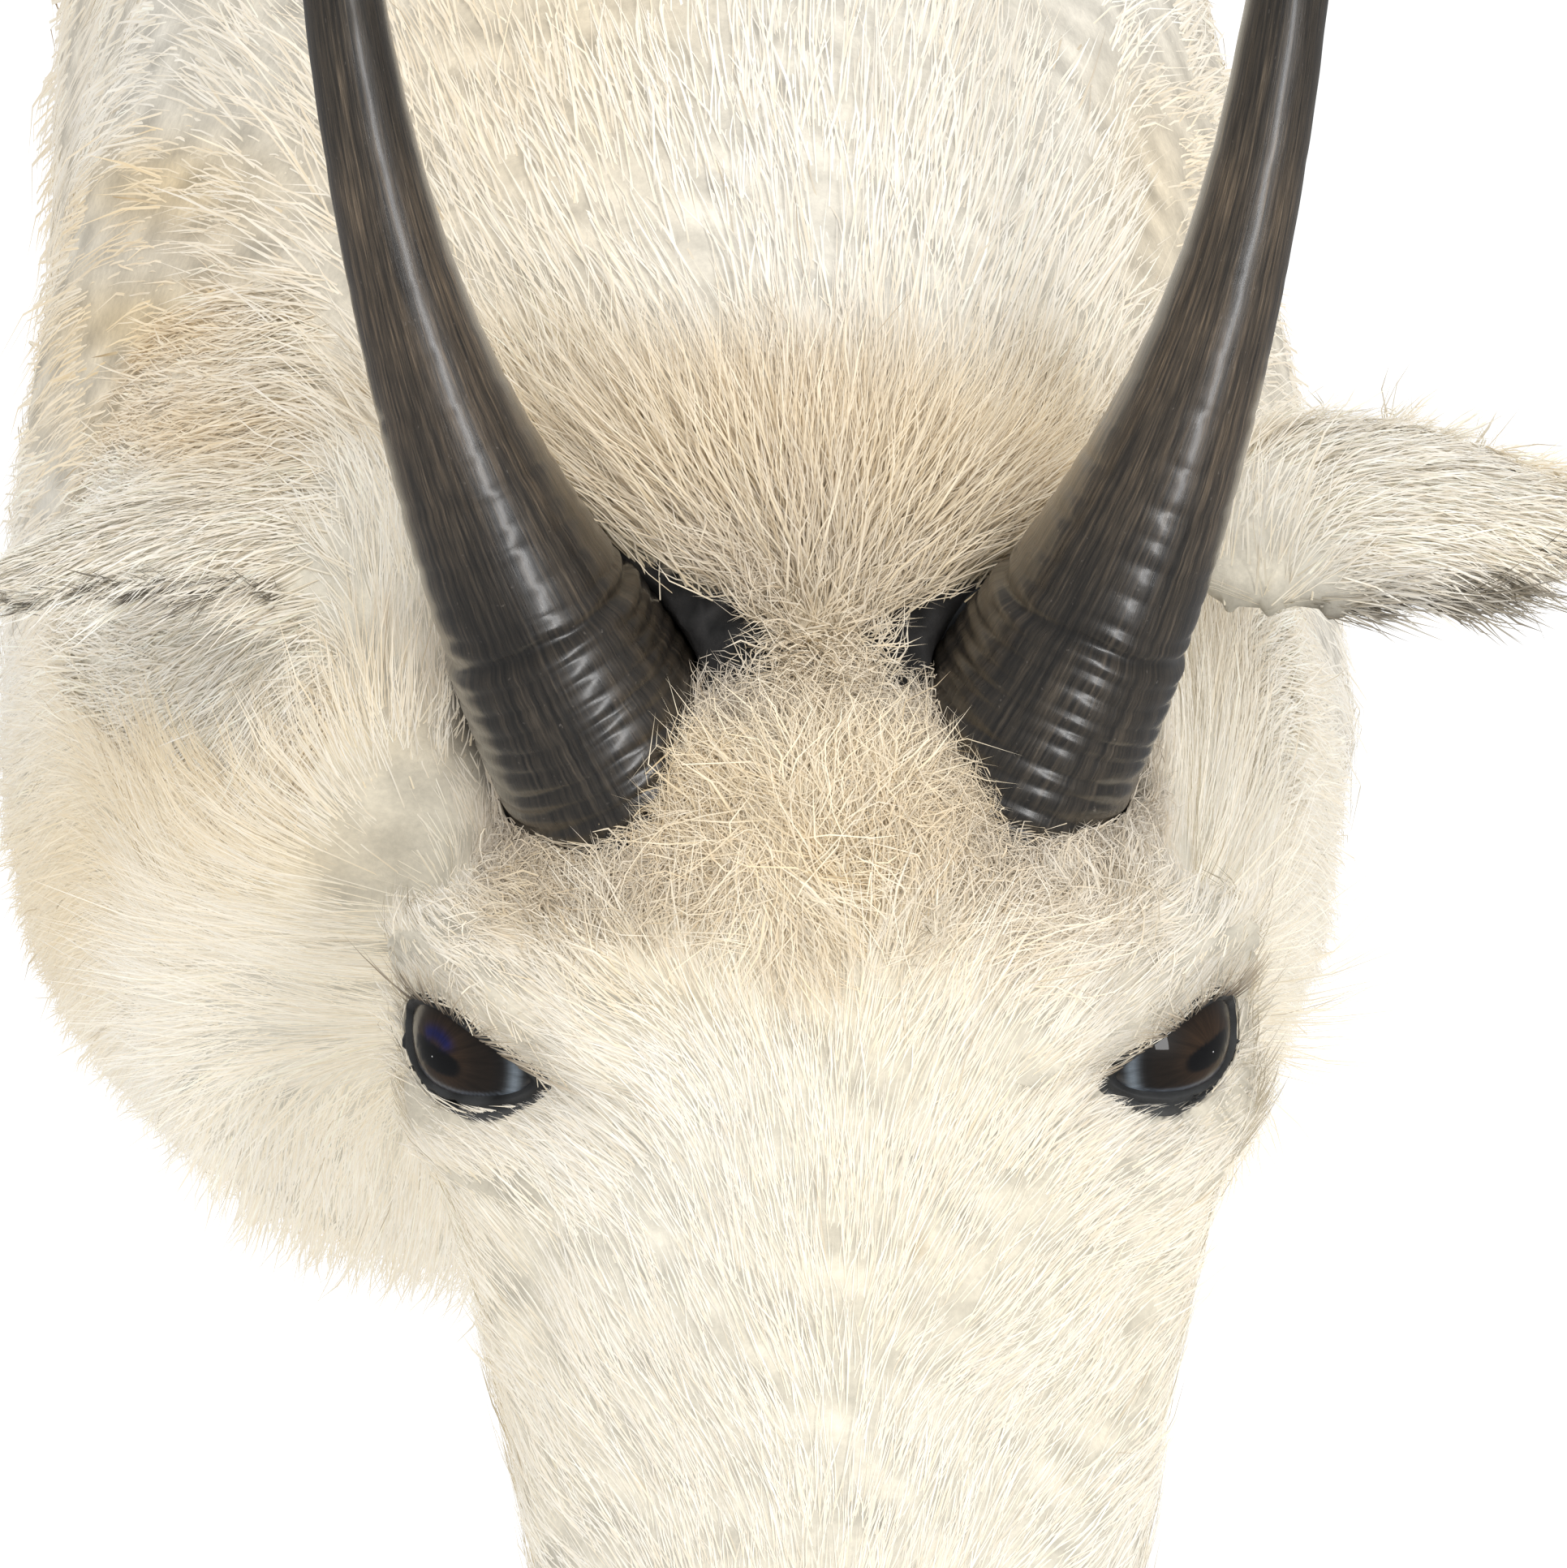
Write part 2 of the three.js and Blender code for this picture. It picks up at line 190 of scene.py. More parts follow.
def newMesh(name, points, triangles, quads=None):
    # a mesh from rows of three and of four corner numbers
    quads = np.zeros((0, 4), int) if quads is None else quads
    mesh = bpy.data.meshes.new(name)
    mesh.vertices.add(len(points))
    mesh.vertices.foreach_set("co", np.ascontiguousarray(points, np.float32).ravel())
    corners = np.concatenate([np.asarray(quads).ravel(), np.asarray(triangles).ravel()])
    mesh.loops.add(len(corners))
    mesh.loops.foreach_set("vertex_index", corners.astype(np.int32))
    sizes = np.concatenate([np.full(len(quads), 4), np.full(len(triangles), 3)])
    mesh.polygons.add(len(sizes))
    starts = np.concatenate([[0], np.cumsum(sizes)[:-1]])
    mesh.polygons.foreach_set("loop_start", starts.astype(np.int32))
    mesh.update(calc_edges=True)
    mesh.shade_smooth()
    return mesh


def addPiece(name, mesh, material, slot, *nodes):
    piece = bpy.data.objects.new(name, mesh)
    bpy.context.scene.collection.objects.link(piece)
    mesh.materials.clear()
    mesh.materials.append(material)
    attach(piece, "root")
    if nodes:
        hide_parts(*nodes)
    return piece


def gridMesh(name, grid, middle=None, hoop=False):
    # a grid of closed rings, with a fan at each end, or joined from last ring to first in a hoop
    # faces look away from middle
    rows, columns = grid.shape[:2]
    points = grid.reshape(-1, 3)
    ring = np.arange(columns)
    nextRing = np.roll(ring, -1)
    row = np.arange(rows if hoop else rows - 1)[:, None] * columns
    nextRow = (row + columns) % (rows * columns)
    quads = np.stack([row + ring, row + nextRing, nextRow + nextRing, nextRow + ring], -1).reshape(-1, 4)
    triangles = np.zeros((0, 3), int)
    if not hoop:
        last = (rows - 1) * columns
        start, end = len(points), len(points) + 1
        points = np.vstack([points, points[:columns].mean(0), points[last:].mean(0)])
        triangles = np.vstack([
            np.stack([np.full(columns, start), nextRing, ring], -1),
            np.stack([np.full(columns, end), last + ring, last + nextRing], -1)])
    centre = points.mean(0) if middle is None else middle
    corners = points[quads] - centre
    facing = dot(np.cross(corners[:, 1] - corners[:, 0], corners[:, 2] - corners[:, 0]), corners[:, 0])
    if facing.sum() < 0:
        quads, triangles = quads[:, ::-1], triangles[:, ::-1]
    return newMesh(name, points, triangles, quads)


def paint(mesh, colours):
    # one linear colour for each vertex
    layer = mesh.color_attributes.new("coat", "FLOAT_COLOR", "POINT")
    values = np.ones((len(mesh.vertices), 4), np.float32)
    values[:len(colours), :3] = colours
    layer.data.foreach_set("color", values.ravel())


def markGrain(mesh, places):
    # one place in the pattern for each vertex
    layer = mesh.attributes.new("grain", "FLOAT_VECTOR", "POINT")
    values = np.zeros((len(mesh.vertices), 3), np.float32)
    values[:len(places)] = places
    layer.data.foreach_set("vector", values.ravel())


def readMesh(mesh):
    points = np.zeros(len(mesh.vertices) * 3)
    normals = np.zeros(len(mesh.vertices) * 3)
    mesh.vertices.foreach_get("co", points)
    mesh.vertex_normals.foreach_get("vector", normals)
    return points.reshape(-1, 3), normals.reshape(-1, 3)


# Materials

def newMaterial(name):
    material = bpy.data.materials.new(name)
    material.use_nodes = True
    nodes = material.node_tree.nodes
    nodes.clear()
    output = nodes.new("ShaderNodeOutputMaterial")
    shader = nodes.new("ShaderNodeBsdfPrincipled")
    material.node_tree.links.new(shader.outputs["BSDF"], output.inputs["Surface"])
    return material, nodes, material.node_tree.links, shader


def setShader(shader, **values):
    for name, value in values.items():
        shader.inputs[name.replace("_", " ")].default_value = value


def attributeNode(nodes, name, socket):
    node = nodes.new("ShaderNodeAttribute")
    node.attribute_name = name
    return node.outputs[socket]


def objectPlace(nodes):
    return nodes.new("ShaderNodeTexCoord").outputs["Object"]


def noiseNode(nodes, links, source, scale, detail=4.0, roughness=0.55, stretch=(1, 1, 1)):
    mapping = nodes.new("ShaderNodeMapping")
    mapping.inputs["Scale"].default_value = stretch
    links.new(source, mapping.inputs["Vector"])
    noise = nodes.new("ShaderNodeTexNoise")
    noise.inputs["Scale"].default_value = scale
    noise.inputs["Detail"].default_value = detail
    noise.inputs["Roughness"].default_value = roughness
    links.new(mapping.outputs["Vector"], noise.inputs["Vector"])
    return noise.outputs["Fac"]


def rampNode(nodes, links, source, stops):
    ramp = nodes.new("ShaderNodeValToRGB")
    elements = ramp.color_ramp.elements
    while len(elements) < len(stops):
        elements.new(0.5)
    for element, (place, colour) in zip(elements, stops):
        element.position = place
        element.color = (*colour, 1)
    links.new(source, ramp.inputs["Fac"])
    return ramp.outputs["Color"]


def mixNode(nodes, links, kind, amount, first, second):
    mix = nodes.new("ShaderNodeMix")
    mix.data_type = "RGBA"
    mix.blend_type = kind
    for socket, value in ((mix.inputs["Factor"], amount), (mix.inputs[6], first), (mix.inputs[7], second)):
        if isinstance(value, (int, float)):
            socket.default_value = value
        elif isinstance(value, tuple):
            socket.default_value = (*value, 1)
        else:
            links.new(value, socket)
    return mix.outputs[2]


def bumpNode(nodes, links, shader, height, strength, distance):
    node = nodes.new("ShaderNodeBump")
    node.inputs["Strength"].default_value = strength
    node.inputs["Distance"].default_value = distance
    links.new(height, node.inputs["Height"])
    links.new(node.outputs["Normal"], shader.inputs["Normal"])


def greyStops(low, high, dark=0.0, light=1.0):
    return [(low, (dark,) * 3), (high, (light,) * 3)]


def furMaterial():
    # each ribbon carries fine lines along its run, as of single hairs lying together
    material, nodes, links, shader = newMaterial("goat hair")
    lines = noiseNode(nodes, links, attributeNode(nodes, "grain", "Vector"), 1.0, 0, 0.5, (3.2, 1.0, 0.35))
    shade = rampNode(nodes, links, lines, [(0.32, (0.93, 0.88, 0.80)), (0.62, (1.0, 1.0, 1.0))])
    coat = attributeNode(nodes, "coat", "Color")
    links.new(mixNode(nodes, links, "MULTIPLY", 1.0, coat, shade), shader.inputs["Base Color"])
    setShader(shader, Roughness=0.6, Specular_IOR_Level=0.12)
    return material


def skinMaterial():
    material, nodes, links, shader = newMaterial("hide skin")
    place = objectPlace(nodes)
    pores = noiseNode(nodes, links, place, 700, 5, 0.65)
    shade = rampNode(nodes, links, pores, greyStops(0.25, 0.75, 0.82, 1.06))
    coat = attributeNode(nodes, "coat", "Color")
    links.new(mixNode(nodes, links, "MULTIPLY", 1.0, coat, shade), shader.inputs["Base Color"])
    creases = noiseNode(nodes, links, place, 300, 6, 0.7)
    bumpNode(nodes, links, shader, creases, 0.4, 0.0008)
    setShader(shader, Roughness=0.5, Specular_IOR_Level=0.35)
    return material


def hornMaterial():
    # fibres run along the horn, dark and glossy toward the tip, browner and duller toward the rim
    material, nodes, links, shader = newMaterial("horn sheath")
    grain = attributeNode(nodes, "grain", "Vector")
    fibres = noiseNode(nodes, links, grain, 1.0, 6, 0.72, (1.7, 1.7, 0.06))
    fineFibres = noiseNode(nodes, links, grain, 1.0, 4, 0.65, (4.5, 4.5, 0.2))
    clouds = noiseNode(nodes, links, grain, 1.0, 4, 0.6, (0.07, 0.07, 0.035))
    specks = noiseNode(nodes, links, grain, 1.0, 2, 0.5, (1.5, 1.5, 1.2))
    fibreColour = rampNode(nodes, links, fibres, [
        (0.32, (0.012, 0.010, 0.008)), (0.46, (0.038, 0.031, 0.022)),
        (0.58, (0.085, 0.066, 0.043)), (0.74, (0.200, 0.158, 0.105))])
    cloudShade = rampNode(nodes, links, clouds, greyStops(0.3, 0.7, 0.6, 1.3))
    shaded = mixNode(nodes, links, "MULTIPLY", 1.0, fibreColour, cloudShade)
    fineShade = rampNode(nodes, links, fineFibres, greyStops(0.35, 0.65, 0.62, 1.25))
    shaded = mixNode(nodes, links, "MULTIPLY", 1.0, shaded, fineShade)
    coat = attributeNode(nodes, "coat", "Color")
    shaded = mixNode(nodes, links, "MULTIPLY", 1.0, shaded, coat)
    dust = rampNode(nodes, links, specks, greyStops(0.70, 0.78, 0.0, 0.35))
    links.new(mixNode(nodes, links, "MIX", dust, shaded, (0.22, 0.19, 0.16)), shader.inputs["Base Color"])
    gloss = rampNode(nodes, links, fineFibres, greyStops(0.3, 0.75, 0.24, 0.52))
    links.new(gloss, shader.inputs["Roughness"])
    height = mixNode(nodes, links, "MIX", 0.5, fibres, fineFibres)
    bumpNode(nodes, links, shader, height, 0.5, 0.00013)
    setShader(shader, Specular_IOR_Level=0.9, Coat_Weight=0.8, Coat_Roughness=0.2)
    return material


def eyeMaterial():
    material, nodes, links, shader = newMaterial("glass eye")
    grain = attributeNode(nodes, "grain", "Vector")
    rays = noiseNode(nodes, links, grain, 1.0, 5, 0.7, (9, 9, 0.35))
    shade = rampNode(nodes, links, rays, greyStops(0.3, 0.7, 0.55, 1.4))
    coat = attributeNode(nodes, "coat", "Color")
    links.new(mixNode(nodes, links, "MULTIPLY", 1.0, coat, shade), shader.inputs["Base Color"])
    setShader(shader, Roughness=0.4, Specular_IOR_Level=0.2, Coat_Weight=0.7, Coat_Roughness=0.015,
              Coat_IOR=1.5)
    return material


def plywoodMaterial():
    material, nodes, links, shader = newMaterial("plywood")
    place = objectPlace(nodes)
    grain = noiseNode(nodes, links, place, 18, 8, 0.6, (9, 1, 0.7))
    face = rampNode(nodes, links, grain, [
        (0.3, (0.40, 0.26, 0.135)), (0.5, (0.56, 0.40, 0.235)), (0.72, (0.66, 0.50, 0.32))])
    plies = nodes.new("ShaderNodeTexWave")
    plies.wave_type = "BANDS"
    plies.bands_direction = "Y"
    plies.inputs["Scale"].default_value = 62
    plies.inputs["Distortion"].default_value = 0.6
    links.new(place, plies.inputs["Vector"])
    plyShade = rampNode(nodes, links, plies.outputs["Fac"], greyStops(0.45, 0.55, 0.6, 1.0))
    geometry = nodes.new("ShaderNodeNewGeometry")
    split = nodes.new("ShaderNodeSeparateXYZ")
    links.new(geometry.outputs["Normal"], split.inputs["Vector"])
    turned = nodes.new("ShaderNodeMath")
    turned.operation = "ABSOLUTE"
    links.new(split.outputs["Y"], turned.inputs[0])
    edge = rampNode(nodes, links, turned.outputs[0], greyStops(0.3, 0.6, 1.0, 0.0))
    links.new(mixNode(nodes, links, "MULTIPLY", edge, face, plyShade), shader.inputs["Base Color"])
    bumpNode(nodes, links, shader, grain, 0.25, 0.0006)
    setShader(shader, Roughness=0.72, Specular_IOR_Level=0.3)
    return material


def steelMaterial():
    material, nodes, links, shader = newMaterial("zinc plated steel")
    spangle = noiseNode(nodes, links, objectPlace(nodes), 260, 3, 0.5)
    links.new(rampNode(nodes, links, spangle, [(0.3, (0.42, 0.43, 0.45)), (0.7, (0.70, 0.70, 0.71))]),
              shader.inputs["Base Color"])
    links.new(rampNode(nodes, links, spangle, greyStops(0.3, 0.7, 0.28, 0.45)), shader.inputs["Roughness"])
    setShader(shader, Metallic=1.0)
    return material


materials = {
    "fur": furMaterial(), "skin": skinMaterial(), "horn": hornMaterial(), "eye": eyeMaterial(),
    "plywood": plywoodMaterial(), "steel": steelMaterial(),
}
print("materials made")


# Horns: ovals square to a line that leans out from the head and curves back

hornPlan = {
    "length": 272, "rim": 22, "sunk": 4, "root": (-0.8, -52.7, 30.3), "depthRatio": 1.15,
    "forwardLean": -8, "backwardLean": 56, "rings": 520, "sides": 128, "axisStep": 0.25,
    "thickness": {"tip": 0.8, "taper": 8.5, "taperPower": 0.75,
                  "flare": 10.4, "flareReach": 54.4, "flarePower": 1.85},
    # half the gap between the horns: at the rim, what it gains steadily and what it gains in a curve
    "apart": {"start": 28.8, "steady": 0.03, "curved": 45, "reach": 92.8},
    # place along the horn, depth and width of each groove round it
    "grooves": [(29.5, 1.20, 1.0), (32.8, 0.22, 0.7), (26.2, 0.24, 0.55), (23.1, 0.34, 0.6),
                (19.8, 0.26, 0.5), (16.9, 0.38, 0.6), (14.3, 0.24, 0.5), (11.2, 0.40, 0.6),
                (8.6, 0.26, 0.5), (6.0, 0.34, 0.55), (3.4, 0.26, 0.5), (37.2, 0.14, 0.8),
                (41.8, 0.20, 0.9), (45.6, 0.12, 0.8), (50.9, 0.18, 1.0), (57.0, 0.11, 1.0),
                (64.5, 0.13, 1.1), (73.0, 0.07, 1.2), (84.0, 0.09, 1.4), (101.0, 0.06, 1.6)],
    "nick": {"side": 1, "distance": 14, "angle": 1.2, "size": 2.4, "depth": 0.5},
}


def hornLean(distance):
    part = np.clip((distance - hornPlan["rim"]) / (hornPlan["length"] - hornPlan["rim"]), 0, 1)
    return np.radians(blend(hornPlan["forwardLean"], hornPlan["backwardLean"], part ** 1.1))


def hornClimb(distance):
    # the way the horn runs in the head's middle plane
    lean = column(hornLean(distance))
    return np.cos(lean) * up - np.sin(lean) * forward


def hornRadius(distance):
    # a taper to the tip, with a flare toward the base
    thick = hornPlan["thickness"]
    left = np.clip(1 - distance / hornPlan["length"], 0, 1)
    flare = np.exp(-((np.maximum(distance, 0) / thick["flareReach"]) ** thick["flarePower"]))
    return thick["tip"] + thick["taper"] * left ** thick["taperPower"] + thick["flare"] * flare


def hornAxis(side, distance):
    # middle of the horn at each distance, with its ways along, sideways and frontward, and its radius
    step = hornPlan["axisStep"]
    steps = np.arange(-10, hornPlan["length"] + step, step)
    line = np.cumsum(hornClimb(steps), 0) * step
    line -= line[np.searchsorted(steps, 0)]
    start = fromHead(*hornPlan["root"]) - hornPlan["rim"] * mm * hornClimb(np.array([0.0]))[0]
    middle = start + mm * np.stack([np.interp(distance, steps, line[:, k]) for k in range(3)], -1)
    apart = hornPlan["apart"]
    curve = distance / apart["reach"]
    spread = apart["start"] + apart["steady"] * distance + apart["curved"] * np.tanh(curve)
    slope = apart["steady"] + apart["curved"] / apart["reach"] / np.cosh(curve) ** 2
    middle = middle + mm * side * column(spread) * across
    along = unit(hornClimb(distance) + side * column(slope) * across)
    sideways = unit(across - column(along @ across) * along)
    return middle, along, sideways, np.cross(sideways, along), hornRadius(distance)


def hornGrid(side):
    # the radius is the horn's own less its grooves, which wander a little and have raised lips
    distance = np.linspace(-hornPlan["sunk"], hornPlan["length"], hornPlan["rings"])
    angle = np.linspace(0, 2 * math.pi, hornPlan["sides"], endpoint=False)
    middle, along, sideways, frontward, plain = hornAxis(side, distance)
    turn = angle[None, :] + 0 * column(distance)
    round3 = np.stack([11 * np.cos(turn), 11 * np.sin(turn), column(distance) + 0 * turn], -1)
    place = column(distance) + 0.9 * wander(round3, 34, 5 + side) + 0.35 * wander(round3, 11, 8 + side)
    radius = column(plain) + 0 * turn
    for middlePlace, depth, width in hornPlan["grooves"]:
        strength = depth * (1 + 0.15 * wander(round3, 26, int(middlePlace * 10)))
        radius = radius - strength * bump(place, middlePlace, width)
        radius = radius + 0.2 * strength * bump(place, middlePlace - 1.9 * width, 1.3 * width)
    # the sheath steps in a little past the main groove
    radius = radius - 0.35 * smoothStep(29, 31, place) * bump(place, 31, 12)
    radius = radius + 0.04 * wander(round3 * np.array([0.5, 0.5, 1]), 9, 21 + side)
    nick = hornPlan["nick"]
    if side == nick["side"]:
        spot = np.exp(-((place - nick["distance"]) / nick["size"]) ** 2
                      - ((turn - nick["angle"]) * 20 / nick["size"]) ** 2)
        radius = radius - nick["depth"] * spot
    tip = np.sqrt(np.clip((hornPlan["length"] - distance) / 2.0, 0, 1))
    radius = np.maximum(radius * column(np.maximum(tip, 0.02)), 0.02)
    grid = (middle[:, None] + mm * column(radius * np.cos(turn)) * sideways[:, None]
            + mm * hornPlan["depthRatio"] * column(radius * np.sin(turn)) * frontward[:, None])
    return grid, round3, place


def buildHorn(node, side):
    grid, round3, place = hornGrid(side)
    mesh = gridMesh(node + "_sheath", grid)
    brown = 0.36 + 0.80 * bump(place, 76, 44)
    tone = brown * (1 + 0.16 * wander(round3 * np.array([1, 1, 0.4]), 16, 31 + side))
    warmth = np.stack([0.95 + 0.1 * brown, 0.97 + 0 * brown, 1.03 - 0.1 * brown], -1)
    colours = column(tone) * warmth
    # painted shade: each groove is darker, the more so the deeper it is
    for middlePlace, depth, width in hornPlan["grooves"]:
        colours = colours * column(1 - 0.5 * min(depth, 0.9) * bump(place, middlePlace, width))
    paint(mesh, np.clip(colours, 0.05, 1.6).reshape(-1, 3))
    markGrain(mesh, round3.reshape(-1, 3))
    addPiece(node + "_sheath", mesh, materials["horn"], "horn", node)


buildHorn("horn_left", -1)
buildHorn("horn_right", 1)
print("horns made")


def nearHorn(points, reach):
    # millimetres from each point to the nearest horn's wall, with the way out of that horn
    best = np.full(len(points), 1e3)
    way = np.zeros((len(points), 3))
    for side in (-1, 1):
        distance = np.arange(-4, reach, 4.0)
        middle, along, sideways, frontward, radius = hornAxis(side, distance)
        close = np.linalg.norm(points - middle[len(middle) // 4], axis=1) < reach * mm
        chosen = np.where(close)[0]
        if not len(chosen):
            continue
        away = points[chosen][:, None] - middle
        nearest = np.linalg.norm(away, axis=2).argmin(1)
        away = away[np.arange(len(chosen)), nearest]
        run = column(dot(away, along[nearest])) * along[nearest]
        out = away - run
        deep = column(dot(out, frontward[nearest])) * frontward[nearest]
        oval = np.linalg.norm(out - deep + deep / hornPlan["depthRatio"], axis=1) / mm
        gap = oval - radius[nearest]
        below = np.linalg.norm(run, axis=1) / mm > 6
        gap = np.where(below, np.maximum(gap, 12), gap)
        better = gap < best[chosen]
        best[chosen[better]] = gap[better]
        way[chosen[better]] = unit(out)[better]
    return best, way


# Glass eyes, turned so that their front looks out between the lids

eyePlan = {
    "radius": 15.5, "rings": 90, "sides": 128, "bulge": 0.7, "iris": 45,
    "pupil": (5.4, 2.2), "pupilPower": 2.6,
    "look": (0.74, 0.42, 0.52), "slit": (-0.9, 0.5, 0.3),
    # half angles of the opening: to the tear corner, outer corner, brow and cheek
    "opening": (62, 44, 26, 20), "pointedness": 1.75,
}
eyeColours = {
    "centre": (0.030, 0.016, 0.008), "iris": (0.014, 0.009, 0.006), "irisEdge": (0.010, 0.008, 0.007),
    "ring": (0.16, 0.19, 0.22), "back": (0.020, 0.018, 0.018), "pupil": (0.002, 0.002, 0.003),
    # painted reflections on the glass: a pale line along the lower lid and a blue patch under the brow
    "lidReflection": (0.17, 0.20, 0.24), "blueReflection": (0.004, 0.006, 0.060),
}
eyeColours = {name: np.array(value) for name, value in eyeColours.items()}


def gazeFrame(side):
    # the ways that the eye looks, of its slit toward the tear corner, and of the brow
    look = unit(headWay(side * eyePlan["look"][0], eyePlan["look"][1], eyePlan["look"][2]))
    slit = headWay(side * eyePlan["slit"][0], eyePlan["slit"][1], eyePlan["slit"][2])
    slit = unit(slit - dot(slit, look) * look)
    brow = np.cross(look, slit)
    return look, slit, brow * np.sign(brow @ (outOfFace - 0.5 * downFace))


def openingAngle(turn):
    # how far from the gaze the lids' edge lies, in degrees, at each turn round it
    tear, outer, browSide, cheek = eyePlan["opening"]
    power = eyePlan["pointedness"]
    wide = np.where(np.cos(turn) > 0, tear, outer)
    high = np.where(np.sin(turn) > 0, browSide, cheek)
    return (np.abs(np.cos(turn) / wide) ** power + np.abs(np.sin(turn) / high) ** power) ** (-1 / power)


def eyeAngles(points, side):
    # distance from the eye's middle in millimetres, angle from the gaze and turn round it
    look, slit, brow = gazeFrame(side)
    away = (points - eyeMiddles[side]) / mm
    distance = np.linalg.norm(away, axis=-1)
    angle = np.degrees(np.arccos(np.clip(away @ look / np.maximum(distance, 1e-6), -1, 1)))
    return distance, angle, np.arctan2(away @ brow, away @ slit)


def buildEye(node, side):
    look, slit, brow = gazeFrame(side)
    angle = np.radians(np.linspace(0.6, 179.4, eyePlan["rings"]))[:, None]
    turn = np.linspace(0, 2 * math.pi, eyePlan["sides"], endpoint=False)[None, :]
    ways = (column(np.cos(angle) + 0 * turn) * look
            + column(np.sin(angle) * np.cos(turn)) * slit + column(np.sin(angle) * np.sin(turn)) * brow)
    degrees = np.degrees(angle) + 0 * turn
    radius = eyePlan["radius"] + eyePlan["bulge"] * (1 - smoothStep(5, 42, degrees))
    mesh = gridMesh(node + "_glass", eyeMiddles[side] + mm * column(radius) * ways)
    flat = np.sin(angle) * eyePlan["radius"]
    x, y = flat * np.cos(turn), flat * np.sin(turn)
    front = 1 - smoothStep(88, 92, degrees)
    # the pupil is a slot with rounded corners: its two half widths' shares, each to a power, added
    wide, high = eyePlan["pupil"]
    power = eyePlan["pupilPower"]
    slot = (np.abs(x / wide) ** power + np.abs(y / high) ** power) ** (1 / power)
    pupil = front * (1 - smoothStep(0.86, 1.08, slot))
    # painted reflection: a pale line along the lower lid, where the glass mirrors the light
    beyond = degrees - openingAngle(turn + 0 * angle)
    lidReflection = bump(beyond, -3.0, 2.2) * smoothStep(0.1, -0.3, np.sin(turn))
    lidReflection = lidReflection * smoothStep(-0.98, -0.6, np.cos(turn))
    # painted reflection: the left eye has a deep blue reflection under the brow
    blueReflection = (side < 0) * bump(degrees, 14, 4) * smoothStep(0.45, 0.9, np.sin(turn))
    iris = eyePlan["iris"]
    colours = blend(eyeColours["centre"], eyeColours["iris"], column(smoothStep(12, 32, degrees)))
    for colour, amount in (
            ("irisEdge", smoothStep(iris - 9, iris - 2, degrees)), ("ring", bump(degrees, iris + 7, 4.0)),
            ("back", smoothStep(iris + 9, iris + 16, degrees)), ("pupil", pupil),
            ("lidReflection", 0.4 * lidReflection), ("blueReflection", blueReflection)):
        colours = blend(colours, eyeColours[colour], column(amount))
    paint(mesh, colours.reshape(-1, 3))
    places = np.stack([np.cos(turn) + 0 * angle, np.sin(turn) + 0 * angle, degrees / 10], -1)
    markGrain(mesh, places.reshape(-1, 3))
    addPiece(node + "_glass", mesh, materials["eye"], "eye", node)


buildEye("eye_left", -1)
buildEye("eye_right", 1)
print("eyes made")


# Skin: the CAD cape rebuilt at an even grain, smoothed and modelled

skinPlan = {
    "voxel": 2.9, "smoothing": 14, "finer": {"muzzle": (118, 160), "eyes": 34},
    # how far the skin may stand from an eye's middle, by degrees beyond the lids' opening
    "settle": ([-3, 2, 8, 14, 22, 30], [13.0, 14.6, 16.2, 17.2, 18.8, 40]),
    "nostril": {"inner": (8.0, -19.0), "outer": (17.5, -6.5), "width": 2.4, "depth": 8.0, "along": 176},
    "mouth": {"height": -37.5, "rise": 0.06, "start": 128, "width": 1.7, "depth": 4.0},
}


def rebuiltCape():
    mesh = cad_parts["cape"].data.copy()
    work = bmesh.new()
    work.from_mesh(mesh)
    bmesh.ops.remove_doubles(work, verts=work.verts, dist=1e-6)
    work.to_mesh(mesh)
    work.free()
    draft = bpy.data.objects.new("draft", mesh)
    bpy.context.scene.collection.objects.link(draft)
    remesh = draft.modifiers.new("grain", "REMESH")
    remesh.mode = "VOXEL"
    remesh.voxel_size = skinPlan["voxel"] * mm
    soften = draft.modifiers.new("soften", "SMOOTH")
    soften.factor = 0.5
    soften.iterations = skinPlan["smoothing"]
    graph = bpy.context.evaluated_depsgraph_get()
    graph.update()
    result = bpy.data.meshes.new_from_object(draft.evaluated_get(graph))
    bpy.data.objects.remove(draft)
    return result


def refine(mesh, chooser):
    # splits the edges whose ends are all chosen
    work = bmesh.new()
    work.from_mesh(mesh)
    work.verts.ensure_lookup_table()
    points = np.array([vertex.co for vertex in work.verts])
    chosen = chooser(points)
    edges = [edge for edge in work.edges if chosen[edge.verts[0].index] and chosen[edge.verts[1].index]]
    bmesh.ops.subdivide_edges(work, edges=edges, cuts=1, use_grid_fill=True)
    work.to_mesh(mesh)
    work.free()
    mesh.update()


def muzzleNear(limit):
    return lambda points: toHead(points)[1] > limit


def eyeNear(reach):
    return lambda points: (eyeAngles(points, -1)[0] < reach) | (eyeAngles(points, 1)[0] < reach)


def mouthHeight(along):
    return skinPlan["mouth"]["height"] + skinPlan["mouth"]["rise"] * (195 - along)


def nostrilGap(side, height):
    # millimetres from the comma-shaped line of a nostril, seen along the face
    width = np.abs(side)
    inner, outer = np.array(skinPlan["nostril"]["inner"]), np.array(skinPlan["nostril"]["outer"])
    line = outer - inner
    t = np.clip(((width - inner[0]) * line[0] + (height - inner[1]) * line[1]) / (line @ line), 0, 1)
    bend = 1.82 * np.sin(math.pi * t)
    return np.hypot(width - inner[0] - line[0] * t - bend, height - inner[1] - line[1] * t + bend), t


def onHead(along, height):
    # 1 on the head and 0 on the neck behind it
    return smoothStep(-132, -96, height) * smoothStep(-104, -66, along)


